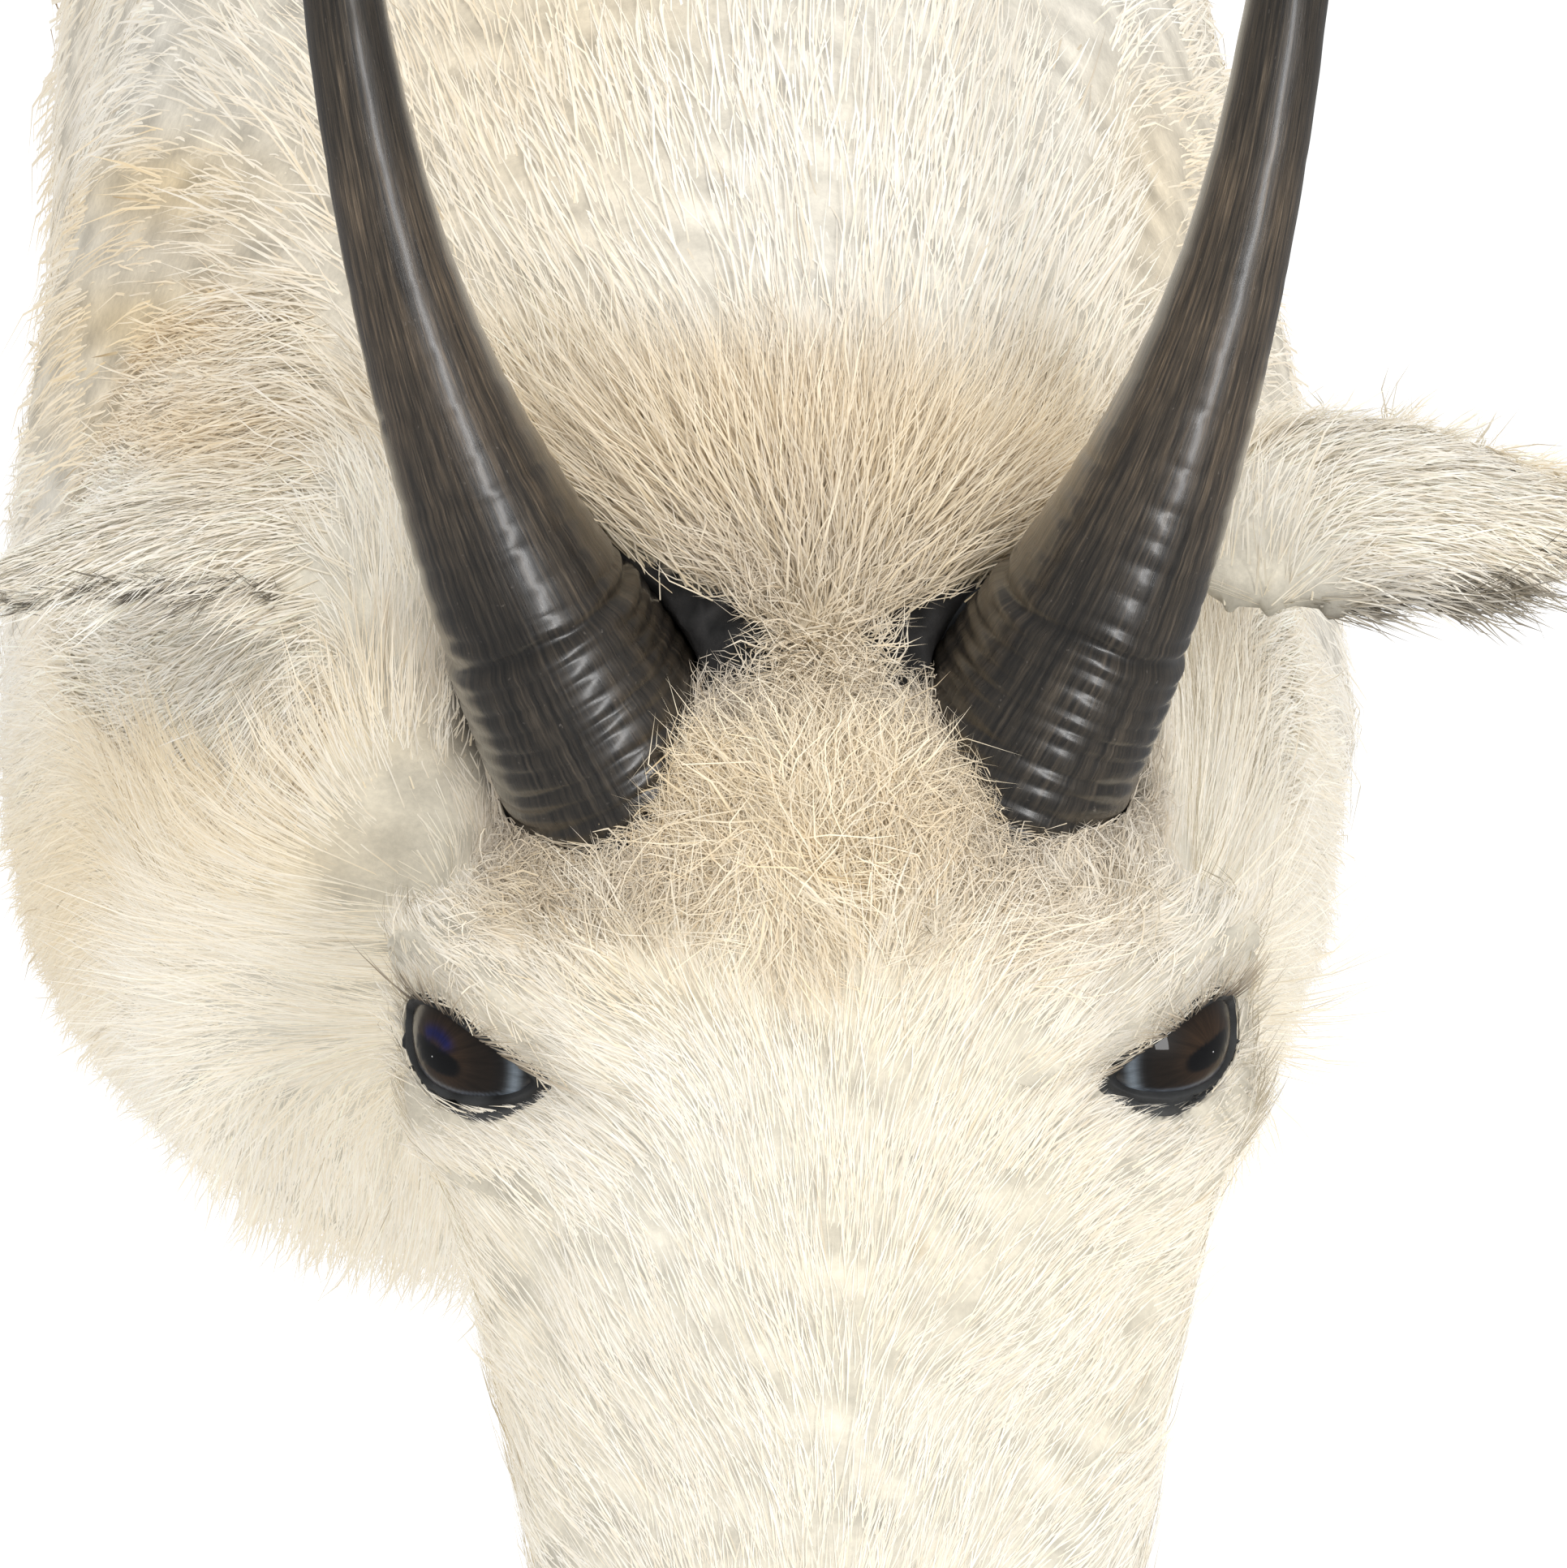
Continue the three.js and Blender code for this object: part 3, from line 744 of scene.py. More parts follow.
def sculpt(points, normals):
    # millimetres to move the skin out along its normals
    side, along, height = toHead(points)
    width = np.abs(side)
    head = onHead(along, height)
    topSide = smoothStep(-20, 5, height)
    sides = np.abs(normals @ across) * smoothStep(-24, 16, along) * smoothStep(192, 150, along)
    push = sides * head * np.where(side > 0, 6.2, 2.6)
    push += 4.0 * bump(width, 45, 13) * bump(along, -16, 12) * bump(height, 20, 12)
    push += 6.5 * bump(width, 60, 9) * bump(along, -9, 9) * bump(height, 7, 10)
    push += -3.2 * bump(width, 41, 9) * bump(along, 50, 20) * bump(height, 4, 12)
    push += 1.5 * bump(width, 0, 16) * bump(along, 70, 55) * topSide
    push += -1.6 * bump(width, 30, 10) * bump(along, 92, 40) * topSide
    push += 3.2 * bump(width, 50, 16) * bump(along, 30, 26) * bump(height, -40, 18)
    push += -3.0 * bump(width, 0, 9) * bump(along, -58, 13) * topSide
    push += 2.0 * bump(width, 0, 26) * bump(along, -30, 14) * topSide
    push += 0.7 * wander(points, 0.05, 3) * head + 3.0 * wander(points, 0.16, 4) * (1 - head)
    # nostrils, with a raised rim and a groove between them down to the mouth
    front = smoothStep(skinPlan["nostril"]["along"], skinPlan["nostril"]["along"] + 6, along)
    gap, part = nostrilGap(side, height)
    spot = skinPlan["nostril"]
    push -= front * spot["depth"] * bump(gap, 0, spot["width"] * (0.75 + 0.45 * part))
    push += front * 1.5 * bump(gap, 5.2, 2.0)
    push -= front * 1.5 * bump(side, 0, 1.4) * smoothStep(-37, -33, height) * smoothStep(-14, -20, height)
    mouth = skinPlan["mouth"]
    lips = smoothStep(mouth["start"], mouth["start"] + 16, along)
    above = height - mouthHeight(along)
    push -= lips * mouth["depth"] * bump(above, 0, mouth["width"])
    push += lips * 1.3 * bump(above, 4.5, 3.2)
    push -= lips * 2.6 * smoothStep(-1, -5, above) * smoothStep(160, 196, along)
    return push * smoothStep(-0.020, -0.034, points[:, 1])


def settleEyes(points):
    # skin inside the lids' opening sinks below the glass, and rises again to the orbit's rim
    for side in (-1, 1):
        distance, angle, turn = eyeAngles(points, side)
        beyond = angle - openingAngle(turn)
        cap = np.interp(beyond, *skinPlan["settle"])
        target = np.where((distance < 40) & (angle < 100), np.minimum(distance, cap), distance)
        points = eyeMiddles[side] + (points - eyeMiddles[side]) * column(target / np.maximum(distance, 1e-6))
    return points


def buildSkinSurface():
    mesh = rebuiltCape()
    for limit in skinPlan["finer"]["muzzle"]:
        refine(mesh, muzzleNear(limit))
    refine(mesh, eyeNear(skinPlan["finer"]["eyes"]))
    points, normals = readMesh(mesh)
    points = points + mm * column(sculpt(points, normals)) * normals
    points = settleEyes(points)
    mesh.vertices.foreach_set("co", points.astype(np.float32).ravel())
    mesh.update()
    mesh.shade_smooth()
    return mesh


skinMesh = buildSkinSurface()
skinPoints, skinNormals = readMesh(skinMesh)
skinMesh.calc_loop_triangles()
skinTriangles = np.zeros(len(skinMesh.loop_triangles) * 3, np.int32)
skinMesh.loop_triangles.foreach_get("vertices", skinTriangles)
skinTriangles = skinTriangles.reshape(-1, 3)
skinTree = BVHTree.FromPolygons(skinPoints.tolist(), skinTriangles.tolist())
print("skin surface", len(skinPoints), "points", len(skinTriangles), "triangles")


def ontoSkin(points, lift):
    # the nearest places on the skin, lifted in millimetres
    found = [skinTree.find_nearest(point) for point in points.reshape(-1, 3).tolist()]
    places = np.array([hit[0] for hit in found])
    ways = np.array([hit[1] for hit in found])
    return (places + mm * column(np.ravel(lift)) * ways).reshape(points.shape)


# Ears: where each stands, to tell the ear's skin from the rest

earPlan = {
    "length": 96, "side": 56, "height": -8,
    # parts of the length, and the leaf's half width there against its widest
    "leaf": ([0, 0.3, 1], [0.75, 1, 0.3]),
    "left": {"side": -1, "along": -84, "droop": 4, "roll": 50, "halfWidth": 26, "rim": 0.0},
    "right": {"side": 1, "along": -79, "droop": -8, "roll": 36, "halfWidth": 31, "rim": 0.75},
}


def earFrame(plan):
    fall, roll = math.radians(plan["droop"]), math.radians(plan["roll"])
    outward = unit(headWay(plan["side"] * math.cos(fall), math.sin(fall), -0.16))
    backFace = headWay(0, -math.sin(roll), math.cos(roll))
    widthWay = unit(np.cross(outward, backFace))
    root = fromHead(plan["side"] * earPlan["side"], plan["along"], earPlan["height"])
    return root, outward, backFace, widthWay


def earPlaces(points, plan):
    # part of the ear's length, place across it in half widths, and how much it is ear
    root, outward, backFace, widthWay = earFrame(plan)
    away = (points - root) / mm
    part = away @ outward / earPlan["length"]
    wide = away @ widthWay / plan["halfWidth"]
    high = away @ backFace / plan["halfWidth"]
    near = smoothStep(1.9, 1.5, np.hypot(wide, high))
    return part, wide, near * smoothStep(0.10, 0.24, part) * smoothStep(1.4, 1.2, part)


# The coat: which way the hair lies, how long it is and what colour, at any place on the skin

coatColours = {
    "white": (0.930, 0.905, 0.850), "cream": (0.915, 0.865, 0.765), "gold": (0.860, 0.700, 0.450),
    "tan": (0.700, 0.550, 0.360), "tip": (0.400, 0.330, 0.260), "grey": (0.560, 0.530, 0.490),
    "dark": (0.045, 0.043, 0.042), "earDark": (0.150, 0.130, 0.105),
}
coatColours = {name: np.array(value) for name, value in coatColours.items()}

# Marks that the photograph shows: place and size in its pixels, colour and strength; the three tan marks on
# the forehead, at (880, 1090), (1110, 1100) and (1210, 1215), are painted shade in its hollows
marks = [
    (210, 230, 120, 60, "gold", 0.85), (180, 400, 150, 60, "gold", 0.85), (240, 290, 90, 40, "tan", 0.25),
    (300, 1040, 150, 110, "gold", 0.60), (430, 900, 90, 50, "gold", 0.50),
    (120, 1090, 110, 150, "gold", 0.40), (700, 650, 60, 60, "gold", 0.35),
    (1000, 640, 200, 60, "gold", 0.30), (1420, 200, 60, 120, "gold", 0.30),
    # painted shade: the last tan mark on this line and the first two on the next
    (640, 1030, 40, 50, "tip", 0.60), (1230, 650, 60, 45, "gold", 0.55), (880, 1090, 40, 30, "tan", 0.45),
    (1110, 1100, 45, 32, "tan", 0.50), (1210, 1215, 40, 28, "tan", 0.40), (835, 1390, 12, 8, "tan", 0.8),
    (1130, 1540, 9, 12, "tan", 0.85), (1185, 1390, 22, 7, "tan", 0.85), (1090, 1875, 8, 8, "grey", 0.7),
    (820, 1240, 60, 40, "gold", 0.30), (1000, 1260, 130, 50, "gold", 0.22),
    (1480, 850, 30, 40, "tip", 0.45), (500, 860, 60, 40, "tip", 0.35), (230, 520, 220, 45, "gold", 0.55),
    (1010, 1130, 190, 50, "gold", 0.35), (930, 1010, 60, 40, "gold", 0.40),
    (1090, 1000, 50, 40, "gold", 0.40),
]
fan = {"place": (0, -56, 26), "opening": 1.7, "middle": 6.5, "front": 13, "reach": 22}


def fanPart(points):
    # how far a place belongs to the fan of hair: a wedge that opens backward between the horns
    # with a narrow tuft in front
    side, along, height = toHead(points)
    behind = fan["place"][1] - along
    beyond = np.abs(side) - fan["opening"] * np.maximum(behind, 0) - fan["middle"]
    wedge = smoothStep(3, -3, beyond + 1.2 * wander(points, 0.012, 47))
    wedge = wedge * smoothStep(-1, 2, behind + fan["front"])
    return wedge * smoothStep(fan["reach"] + 20, fan["reach"] - 10, behind) * smoothStep(-30, -10, height)


def glandSkin(points):
    # the bare dark skin between the horns, beside the fan and its tuft
    side, along, height = toHead(points)
    start = along + 2.0 * wander(points, 0.014, 48)
    between = smoothStep(30, 26, np.abs(side)) * smoothStep(-72, -66, along) * smoothStep(-43, -46, start)
    return between * (1 - smoothStep(0.35, 0.5, fanPart(points))) * smoothStep(-30, -10, height)


def coatAt(points, normals):
    side, along, height = toHead(points)
    width = np.abs(side)
    head = onHead(along, height)
    topSide = smoothStep(-34, 2, height)
    seen = smoothStep(-0.1, 0.3, normals @ viewBack)

    # the face: hair runs up from the nose and fans out round the eyes, then back over the jaw
    outward = 1.5 * side / 50 * smoothStep(-34, 14, along) * smoothStep(160, 90, along)
    faceFlow = -downFace + column(outward) * across - column(0.35 * (1 - topSide)) * outOfFace
    forehead = bump(along, -22, 20) * smoothStep(4, 20, height) * smoothStep(58, 40, width)
    swirl = np.stack([wander(points, 0.020, seed) for seed in (51, 52, 53)], -1)
    faceFlow = faceFlow + column(forehead) * swirl * 1.9 + 0.30 * np.stack(
        [wander(points, 0.040, seed) for seed in (54, 55, 56)], -1)
    topLength = np.interp(along, [-60, -22, 8, 60, 110, 150, 178, 192], [16, 16, 14, 13, 11, 8, 4, 2.6])
    jawLength = np.interp(along, [-60, 0, 60, 110, 150, 180, 192], [34, 30, 24, 18, 14, 8, 4])
    faceLength = blend(topLength, jawLength, 1 - topSide)
    faceLength = faceLength * (1 + 0.25 * topSide * smoothStep(150, 110, along))
    faceLift = 0.12 + 0.16 * forehead + 0.10 * (1 - topSide)

    # the neck: hair runs back to the wall and down
    back = np.array([0, 1.0, 0])
    upward = normals[:, 2]
    under = smoothStep(0.2, -0.7, upward)
    away = unit(points - fromHead(0, -40, -10))
    fall = 0.80 * smoothStep(0.75, 0.2, upward) - 0.3 * smoothStep(0.7, 0.9, upward) - 0.35 * under
    neckFlow = away * column(0.8 - 0.4 * under) + 0.6 * back - up * column(fall)
    sway = wander(points, 0.11, 61) * 0.30
    neckFlow = neckFlow + column(sway) * np.cross(normals, back)
    flank = smoothStep(0.4, 0.85, np.abs(normals @ viewRight))
    neckLength = 36 + 6 * wander(points, 0.09, 62) - 8 * under
    neckLift = 0.14 + 0.03 * wander(points, 0.05, 63) - 0.03 * under - 0.06 * flank

    flow = blend(neckFlow, faceFlow, column(head))
    length = blend(neckLength, faceLength, head)
    lift = blend(neckLift, faceLift, head)
    droop = blend(0.10 - 0.04 * under, 0.02 + 0.03 * (1 - topSide), head)
    wave = blend(1.6 - 0.7 * flank, 0.6 + 2.3 * forehead, head)

    # the fan behind the horns: hair spreads out and back from one place
    crest = fanPart(points)
    spread = points - fromHead(*fan["place"])
    tuft = smoothStep(2, -5, fan["place"][1] - along)
    flow = blend(unit(flow), unit(spread) * 1.1 - column(0.35 * (1 - tuft)) * downFace, column(crest))
    started = smoothStep(-3, 14, fan["place"][1] - along)
    length = blend(length, blend(9, 27 + 7 * wander(points, 0.02, 64), started), crest)
    lift = blend(lift, 0.46 + 0.25 * (1 - started), crest)
    droop = droop * (1 - crest)
    wave = blend(wave, 1.2 + 1.3 * (1 - started), crest)

    # colour from the skin out: base and tip
    tone = wander(points, 0.06, 65)
    creamy = np.clip(0.35 + 0.4 * tone + 0.35 * head, 0, 1)
    tip = blend(coatColours["white"], coatColours["cream"], column(creamy))
    yellow = np.clip(0.5 * wander(points, 0.12, 66) + 0.12, 0, 1) * (1 - head)
    tip = blend(tip, coatColours["gold"], column(0.45 * yellow))
    # painted shade: gold in random hollows of the forehead's wool, as of the shade between its tufts
    hollow = forehead * smoothStep(0.1, 0.9, wander(points, 0.022, 67))
    tip = blend(tip, coatColours["gold"], column(0.32 * forehead + 0.5 * hollow))
    brown = crest * blend(0.02, 0.42, smoothStep(22, 2, fan["place"][1] - along) * (1 - 0.5 * tuft))
    tip = blend(tip, coatColours["gold"], column(0.35 * crest))
    tip = blend(tip, coatColours["tip"], column(brown))
    eyeGap = np.minimum(eyeAngles(points, -1)[0], eyeAngles(points, 1)[0])
    grey = head * smoothStep(34, 22, eyeGap)
    tip = blend(tip, coatColours["grey"], column(0.28 * grey))
    length = length * blend(1.0, 0.42, head * smoothStep(36, 19, eyeGap))
    wave = wave * blend(1.0, 0.2, grey)
    # at the horns the hair is short, lies away from them and has brown-grey tips
    hornGap = nearHorn(points, 90)[0]
    atHorn = smoothStep(15, 2, hornGap) * head * (1 - crest)
    tip = blend(tip, coatColours["tip"], column(0.5 * atHorn))
    between = head * smoothStep(-22, -36, along) * smoothStep(30, 20, width) * (1 - crest)
    length = length * np.minimum(blend(1.0, 0.42, atHorn), blend(1.0, 0.42, between))
    tip = blend(tip, coatColours["tip"], column(0.30 * between))
    lift = blend(lift, 0.5, 0.6 * atHorn)

    # ears: back white, hollow dark, a fringe along the edges
    for plan in (earPlan["left"], earPlan["right"]):
        outward, backFace, widthWay = earFrame(plan)[1:]
        part, wide, ear = earPlaces(points, plan)
        leaf = np.interp(part, *earPlan["leaf"])
        edge = smoothStep(0.55, 0.95, np.abs(wide) / leaf)
        inside = smoothStep(0.05, 0.5, -(normals @ backFace))
        earFlow = outward + column(0.55 * wide) * widthWay - column(0.25 * inside) * backFace
        flow = blend(flow, earFlow, column(ear))
        lower = smoothStep(-0.2, 0.4, plan["side"] * wide)
        length = blend(length, 10 + 4 * edge * (lower - 0.6) + 4 * (1 - part) - 5 * inside, ear)
        lift = blend(lift, 0.22 - 0.12 * inside, ear)
        droop = droop * (1 - ear)
        wave = blend(wave, 0.8, ear)
        pale = smoothStep(0, 1, 0.8 + tone)
        earTip = blend(coatColours["cream"], coatColours["white"] * 1.03, column(pale))
        rim = plan["rim"] * smoothStep(0.66, 0.92, plan["side"] * wide / leaf)
        dark = np.maximum(inside * (0.05 + 0.8 * lower), rim)
        earTip = blend(earTip, coatColours["earDark"], column(dark))
        tip = blend(tip, earTip, column(ear))

    # the beard and the long hair under the jaw hang straight down
    beard = smoothStep(108, 132, along) * smoothStep(-46, -58, height) * smoothStep(30, 18, width)
    throat = head * smoothStep(-40, -62, height) * smoothStep(120, 60, along)
    flow = blend(flow, unit(0.9 * back - 0.45 * up), column(throat))
    flow = blend(flow, -up + 0.25 * back, column(beard))
    length = blend(length, 22, throat)
    # the beard's lowest hair is the shortest, so that it comes to a point
    length = blend(length, np.interp(points[:, 2], [-0.300, -0.270, -0.230], [8, 20, 34]), beard)
    lift = blend(lift, 0.22, beard)
    droop = blend(droop, 0.25, beard)
    wave = blend(wave, 2.0, beard)

    px, py = photoPixel(points)
    for markX, markY, reachX, reachY, colour, strength in marks:
        spot = np.exp(-((px - markX) / reachX) ** 2 - ((py - markY) / reachY) ** 2) * seen * strength
        tip = blend(tip, coatColours[colour], column(spot))

    flow = unit(flow - column(dot(flow, normals)) * normals)
    # painted shade: each strand's root is a little warmer and darker than its tip, so the gaps between
    # strands look like warm shade
    root = tip * blend(np.array([1.0, 0.97, 0.90]), np.array([0.97, 0.94, 0.85]), column(head))
    return {"flow": flow, "length": length, "lift": lift, "droop": droop, "wave": wave, "tip": tip,
            "root": root, "head": head, "hornGap": hornGap}


def bareness(points):
    # 1 where no hair grows: lids, nostrils, lips, horn bases and the face on the board
    side, along, height = toHead(points)
    bare = smoothStep(-0.026, -0.020, points[:, 1])
    for eye in (-1, 1):
        distance, angle, turn = eyeAngles(points, eye)
        bare = np.maximum(bare, (distance < 27) * smoothStep(2.6, 1.4, angle - lidReach(turn)))
    front = smoothStep(174, 180, along)
    bare = np.maximum(bare, front * smoothStep(6.0, 4.4, nostrilGap(side, height)[0]))
    pad = front * smoothStep(13, 9, np.abs(side)) * smoothStep(-31, -27, height) * smoothStep(-8, -12, height)
    bare = np.maximum(bare, pad)
    lips = smoothStep(skinPlan["mouth"]["start"] - 2, skinPlan["mouth"]["start"] + 12, along)
    bare = np.maximum(bare, lips * smoothStep(3.0, 1.9, np.abs(height - mouthHeight(along))))
    bare = np.maximum(bare, smoothStep(1.2, 0.2, nearHorn(points, 90)[0]))
    return np.maximum(bare, glandSkin(points))


# Lids: a rolled edge that rises from the glass and runs out over the orbit's rim

lidPlan = {"sides": 160, "skinRows": 8}


def lidReach(turn):
    # where the bare skin of the lids ends, in degrees from the gaze
    width = np.interp(np.degrees(np.arctan2(np.sin(turn), np.cos(turn))),
                      [-180, -140, -112, -75, -53, -30, -17, 0, 10, 30, 90, 140, 180],
                      [2.5, 3, 5, 10, 15, 17, 14, 8, 5, 3, 2, 2, 2.5])
    return openingAngle(turn) + width


def lidGrid(side):
    look, slit, brow = gazeFrame(side)
    turn = np.linspace(0, 2 * math.pi, lidPlan["sides"], endpoint=False)
    edge, reach = openingAngle(turn), lidReach(turn)

    def shell(angle, radius):
        angle = np.radians(angle)
        ways = (column(np.cos(angle)) * look + column(np.sin(angle) * np.cos(turn)) * slit
                + column(np.sin(angle) * np.sin(turn)) * brow)
        return eyeMiddles[side] + mm * column(radius + 0 * turn) * ways

    glass = eyePlan["radius"]
    crease = 0.25 * np.sin(9 * turn) + 0.15 * np.sin(23 * turn + 1)
    rows = [shell(edge - 2.5, glass - 0.7), shell(edge - 0.3, glass + 0.15), shell(edge + 0.3, glass + 0.6),
            shell(edge + 1.0, glass + 0.95), shell(edge + 1.9, glass + 1.1 + 0.3 * crease),
            shell(edge + 2.9, glass + 1.15 + 0.4 * crease)]
    for row in range(lidPlan["skinRows"]):
        part = (row + 1) / lidPlan["skinRows"]
        places = shell(blend(edge + 3.4, reach + 1.5, part), 17.0)
        lift = 0.5 * (1 - part) + 0.25 + 0.2 * math.sin(part * 7) * np.sin(5 * turn)
        rows.append(ontoSkin(places, lift * (1 - smoothStep(0.7, 1.0, part)) + 0.02))
    places = shell(reach + 3, 17.2)
    rows.append(ontoSkin(places, np.full(len(turn), -1.2)))
    rows.append(shell(edge + 4, glass - 1.5))
    return np.array(rows)


def buildLid(name, side):
    grid = lidGrid(side)
    mesh = gridMesh(name, grid, eyeMiddles[side], hoop=True)
    # a hoop's outer half looks away from the eye, so the sum over the rows that show decides
    shown = grid[:6 + lidPlan["skinRows"]]
    rows = shown.shape[0]
    quads = np.array([polygon.vertices[:] for polygon in mesh.polygons])[:lidPlan["sides"] * (rows - 1)]
    points = grid.reshape(-1, 3)
    corners = points[quads] - eyeMiddles[side]
    facing = dot(np.cross(corners[:, 1] - corners[:, 0], corners[:, 2] - corners[:, 0]), corners[:, 0])
    if facing.sum() < 0:
        mesh.flip_normals()
    rowPart = np.linspace(0, 1, grid.shape[0])[:, None] * np.ones(grid.shape[1])
    tone = 0.034 + 0.016 * wander(grid, 0.006, 71) + 0.035 * smoothStep(0.45, 0.8, rowPart)
    colours = column(np.clip(tone, 0.010, 0.10)) * np.array([0.97, 1.0, 1.02])
    paint(mesh, colours.reshape(-1, 3))
    addPiece(name, mesh, materials["skin"], "skin")


buildLid("lids_left", -1)
buildLid("lids_right", 1)
print("lids made")


# Horn collars: bare skin round each rim, with a gland's thick ridge up the inner back of the horn

collarPlan = {"sides": 144, "gland": {"angle": -0.62, "width": 0.60, "climb": 20, "thick": 2.3}}


def collarGrid(side):
    plan = collarPlan["gland"]
    turn = np.linspace(0, 2 * math.pi, collarPlan["sides"], endpoint=False)
    # turn 0 looks inward to the other horn, a quarter turn looks forward
    away = np.angle(np.exp(1j * (turn - plan["angle"])))
    gland = np.exp(-(away / plan["width"]) ** 2)
    climb = 0.6 + plan["climb"] * gland + 0.5 * np.sin(5 * turn) + 0.3 * np.sin(11 * turn + 2)
    thick = 0.5 + plan["thick"] * gland

    def shell(distance, extra):
        # creases run along the gland's ridge
        middle, along, sideways, frontward, radius = hornAxis(side, distance)
        crease = 0.30 * np.sin(21 * turn + 0.25 * distance) + 0.18 * np.sin(1.7 * distance + 5 * turn)
        reach = column(radius + extra + gland * crease)
        return middle + mm * reach * (column(-side * np.cos(turn)) * sideways
                                      + hornPlan["depthRatio"] * column(np.sin(turn)) * frontward)

    rows = [shell(climb, -0.8 + 0 * climb), shell(climb + 0.6, 0.3 + 0 * climb),
            shell(climb + 0.5, thick * 0.5), shell(climb - 1.2, thick * 0.9), shell(climb - 3.5, thick),
            shell(blend(climb, -3, 0.35), thick * 1.05), shell(blend(climb, -3, 0.6), thick + 0.8),
            shell(blend(climb, -3, 0.85), thick + 1.2), shell(-4 + 0 * climb, thick + 2.0),
            shell(-8 + 0 * climb, thick + 2.4), shell(-9 + 0 * climb, -1.5 + 0 * climb)]
    return np.array(rows)


def buildCollar(name, side):
    grid = collarGrid(side)
    mesh = gridMesh(name, grid, hoop=True)
    work = bmesh.new()
    work.from_mesh(mesh)
    bmesh.ops.recalc_face_normals(work, faces=work.faces)
    work.to_mesh(mesh)
    work.free()
    tone = 0.034 + 0.016 * wander(grid, 0.008, 81) + 0.016 * wander(grid, 0.0025, 82)
    colours = column(np.clip(tone, 0.006, 0.09)) * np.array([0.92, 1.0, 1.06])
    paint(mesh, colours.reshape(-1, 3))
    addPiece(name, mesh, materials["skin"], "skin")


buildCollar("horn_collar_left", -1)
buildCollar("horn_collar_right", 1)
print("collars made")


def buildSkin():
    coat = coatAt(skinPoints, skinNormals)
    bare = bareness(skinPoints)
    colours = coat["root"] * 0.95
    hollows = 0.85 + 0.15 * wander(skinPoints, 0.012, 91)
    colours = colours * column(hollows)
    dark = bare * smoothStep(-0.030, -0.040, skinPoints[:, 1])
    for eye in (-1, 1):
        distance, angle, turn = eyeAngles(skinPoints, eye)
        dark = dark * np.where(distance < 27, smoothStep(1.0, -0.5, angle - lidReach(turn)), 1)
    colours = blend(colours, coatColours["dark"], column(dark))
    creased = np.clip(0.40 + 0.35 * wander(skinPoints, 0.005, 92), 0.1, 1)
    colours = blend(colours, column(creased) * coatColours["dark"], column(glandSkin(skinPoints)))
    atHorns = 0.8 * smoothStep(4, 0, coat["hornGap"]) * coat["head"]
    colours = blend(colours, coatColours["dark"], column(atHorns))
    paint(skinMesh, np.clip(colours, 0.01, 1))
    addPiece("cape_skin", skinMesh, materials["skin"], "skin", "cape")


buildSkin()
print("skin made")


# Fur: ribbons that taper to a point, grown in tufts

def scatter(count, weight, rng):
    # random places on the skin's triangles, likelier where they are large and weight is high
    corners = skinPoints[skinTriangles]
    area = np.linalg.norm(np.cross(corners[:, 1] - corners[:, 0], corners[:, 2] - corners[:, 0]), axis=1)
    middles = corners.mean(1)
    ways = unit(skinNormals[skinTriangles].mean(1))
    chance = area * weight(middles, ways)
    pick = rng.choice(len(area), count, p=chance / chance.sum())
    first, second = rng.random(count), rng.random(count)
    flip = first + second > 1
    first, second = np.where(flip, 1 - first, first), np.where(flip, 1 - second, second)
    shares = np.stack([1 - first - second, first, second], -1)[..., None]
    chosen = skinTriangles[pick]
    return (skinPoints[chosen] * shares).sum(1), unit((skinNormals[chosen] * shares).sum(1))


def formDrop(roots, flow, normals, lengths):
    # how far the form curves away below a tangent of each length
    reached = roots + flow * column(lengths * mm)
    found = [skinTree.find_nearest(point)[0] for point in reached.tolist()]
    drop = dot(reached - np.array(found), normals)
    return np.clip(drop, -0.15 * lengths * mm, 0.6 * lengths * mm)


def strandPaths(roots, ways, asides, normals, values, levels):
    # a strand leaves its root at an angle, bows back to the coat, follows the form, sags and waves
    t = levels[None, :, None]
    length = values["length"][:, None, None] * mm
    lift = values["lift"][:, None, None]
    rise = np.sin(lift) * (t - values["bow"] * t * t)
    path = length * (ways[:, None] * t * np.cos(lift) + normals[:, None] * rise)
    path = path - normals[:, None] * values["drop"][:, None, None] * t * t
    path = path - up * length * values["droop"][:, None, None] * t * t
    phase = values["phase"][:, None, None]
    swing = mm * values["wave"][:, None, None] * t * np.sin(2 * math.pi * values["turns"] * t + phase)
    path = path + asides[:, None] * swing
    path = path + normals[:, None] * 0.5 * mm * values["wave"][:, None, None] * t * np.sin(
        2 * math.pi * values["turns"] * 0.8 * t + phase * 1.7)
    return roots[:, None] + path


# how far strands keep from horns, glass and wall, and how far they may pass the CAD's box
clearPlan = {"horn": 0.6, "glass": 1.6, "wall": 1.2, "past": 8, "pastShare": 0.03}


def keepClear(paths):
    # strands pass round the horns, stay off the glass and stop short of the wall
    points = paths.reshape(-1, 3)
    gap, way = nearHorn(points, 150)
    points = points + mm * column(np.clip(clearPlan["horn"] - gap, 0, 30)) * way
    for side in (-1, 1):
        away = points - eyeMiddles[side]
        distance = np.linalg.norm(away, axis=1)
        limit = (eyePlan["radius"] + clearPlan["glass"]) * mm
        points = eyeMiddles[side] + away * column(np.maximum(distance, limit) / np.maximum(distance, 1e-9))
    low, high = np.array(cadBox)
    room = clearPlan["pastShare"] * (high - low) + clearPlan["past"] * mm
    points = np.clip(points, low - room, high + room)
    points[:, 1] = np.minimum(points[:, 1], -clearPlan["wall"] * mm)
    return points.reshape(paths.shape)


def overEyes(paths):
    # which strands would lie across the open part of an eye
    crossing = np.zeros(len(paths), bool)
    for side in (-1, 1):
        distance, angle, turn = eyeAngles(paths, side)
        crossing |= ((distance < 30) & (angle < openingAngle(turn) + 2)).any(1)
    return crossing


